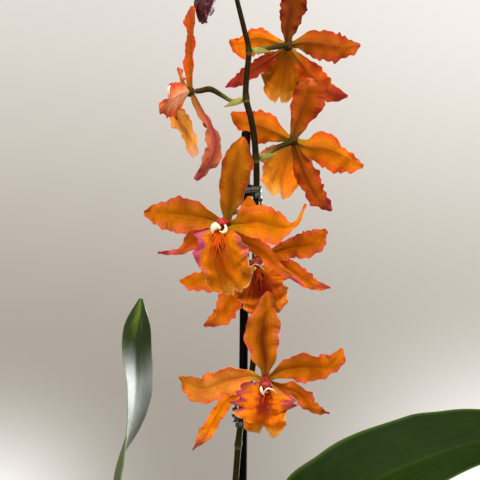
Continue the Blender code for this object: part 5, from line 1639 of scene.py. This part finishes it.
def make_floor():
    """A round table top with a worn edge, which isn't part of the object."""
    angle = circle(96)
    body = Body()
    rings = np.array([
        np.stack([radius * np.cos(angle), radius * np.sin(angle), 0 * angle + height], axis=-1) / METRES
        for radius, height in FLOOR_PROFILE
    ])
    rings_body(body, rings[::-1], np.zeros((*rings.shape[:2], 2)), (0.8, 0.78, 0.75))
    body.build("floor", [FLOOR])


def area_light(name, place, towards, size, energy, colour=(1, 1, 1)):
    light = bpy.data.lights.new(name, "AREA")
    light.shape = "DISK"
    light.size = size
    light.energy = energy
    light.color = colour
    lamp = bpy.data.objects.new(name, light)
    bpy.context.scene.collection.objects.link(lamp)
    lamp.location = place
    way = Vector(towards) - Vector(place)
    lamp.rotation_euler = way.to_track_quat("-Z", "Y").to_euler()


def make_world():
    """A soft grey surround, paler towards the top, and pale low down at both sides."""
    world = bpy.data.worlds.new("studio")
    bpy.context.scene.world = world
    world.use_nodes = True
    tree = world.node_tree
    tree.nodes.clear()
    way = node(tree, "TexCoord").outputs["Generated"]
    parts = node(tree, "SeparateXYZ", {0: way})
    x, z = parts.outputs[0], parts.outputs[2]
    ramp_node = node(tree, "ValToRGB", {0: mapped(tree, z, 0.0, 1.0, start=-0.22, end=0.42)})
    stops = ramp_node.color_ramp.elements
    while len(stops) < len(WALL_TONES):
        stops.new(0.5)
    for stop, (place, value) in zip(stops, WALL_TONES):
        cool = min(1, max(0, (value - 0.4) / 0.35))
        stop.position = place
        stop.color = (value * 1.03, value * (0.925 + 0.05 * cool), value * (0.79 + 0.125 * cool), 1)
    tone = ramp_node.outputs[0]
    for centre_x, centre_z, wide, high, strength in WALL_GLOWS:
        a = maths(tree, "DIVIDE", maths(tree, "SUBTRACT", x, centre_x), wide)
        b = maths(tree, "DIVIDE", maths(tree, "SUBTRACT", z, centre_z), high)
        square = maths(tree, "ADD", maths(tree, "MULTIPLY", a, a), maths(tree, "MULTIPLY", b, b))
        fading = maths(tree, "POWER", 2.718, maths(tree, "MULTIPLY", square, -1.0))
        glow = maths(tree, "MULTIPLY", fading, strength)
        tone = mixed(tree, 1.0, tone, grey(tree, glow), "ADD")
    light = node(tree, "Background", {"Color": tone, "Strength": 1.0}).outputs[0]
    tree.links.new(light, node(tree, "OutputWorld").inputs["Surface"])


def make_camera():
    camera = bpy.data.cameras.new("camera")
    camera.lens = 90
    camera.sensor_width = 36
    camera.clip_start = 0.05
    camera.clip_end = 50
    eye = bpy.data.objects.new("camera", camera)
    bpy.context.scene.collection.objects.link(eye)
    eye.location = (-0.002, -0.6, 0.42)
    eye.rotation_euler = (math.radians(90), 0, 0)
    bpy.context.scene.camera = eye


BARK = plain_material("bark_bed", (0.12, 0.065, 0.035), (0.04, 0.022, 0.013), 160, 0.9, 0.85, distance=0.002)
FLOOR = plain_material("floor", (0.44, 0.43, 0.41), (0.41, 0.4, 0.385), 20, 0.03, 0.6)

make_camera()
make_world()
area_light("key", (0.3, -0.65, 1.3), (0, 0, 0.4), 0.6, 17.0, (1, 0.98, 0.95))
area_light("fill", (-0.5, -1.0, 0.55), (0, 0, 0.4), 0.9, 6.5)
area_light("sheen", (0.85, 0.8, 0.3), (-0.05, -0.02, 0.37), 0.75, 28.0)
make_floor()
make_pot()
make_bark()
make_pseudobulbs()
make_leaves()
make_stake()
make_ties()
make_spike()
make_buds()
for bloom_number, bloom_data in BLOOMS.items():
    make_tepals(bloom_number, bloom_data)
    make_lip(bloom_number, bloom_data)
    make_column(bloom_number, bloom_data)
bpy.context.scene.view_settings.view_transform = "Standard"
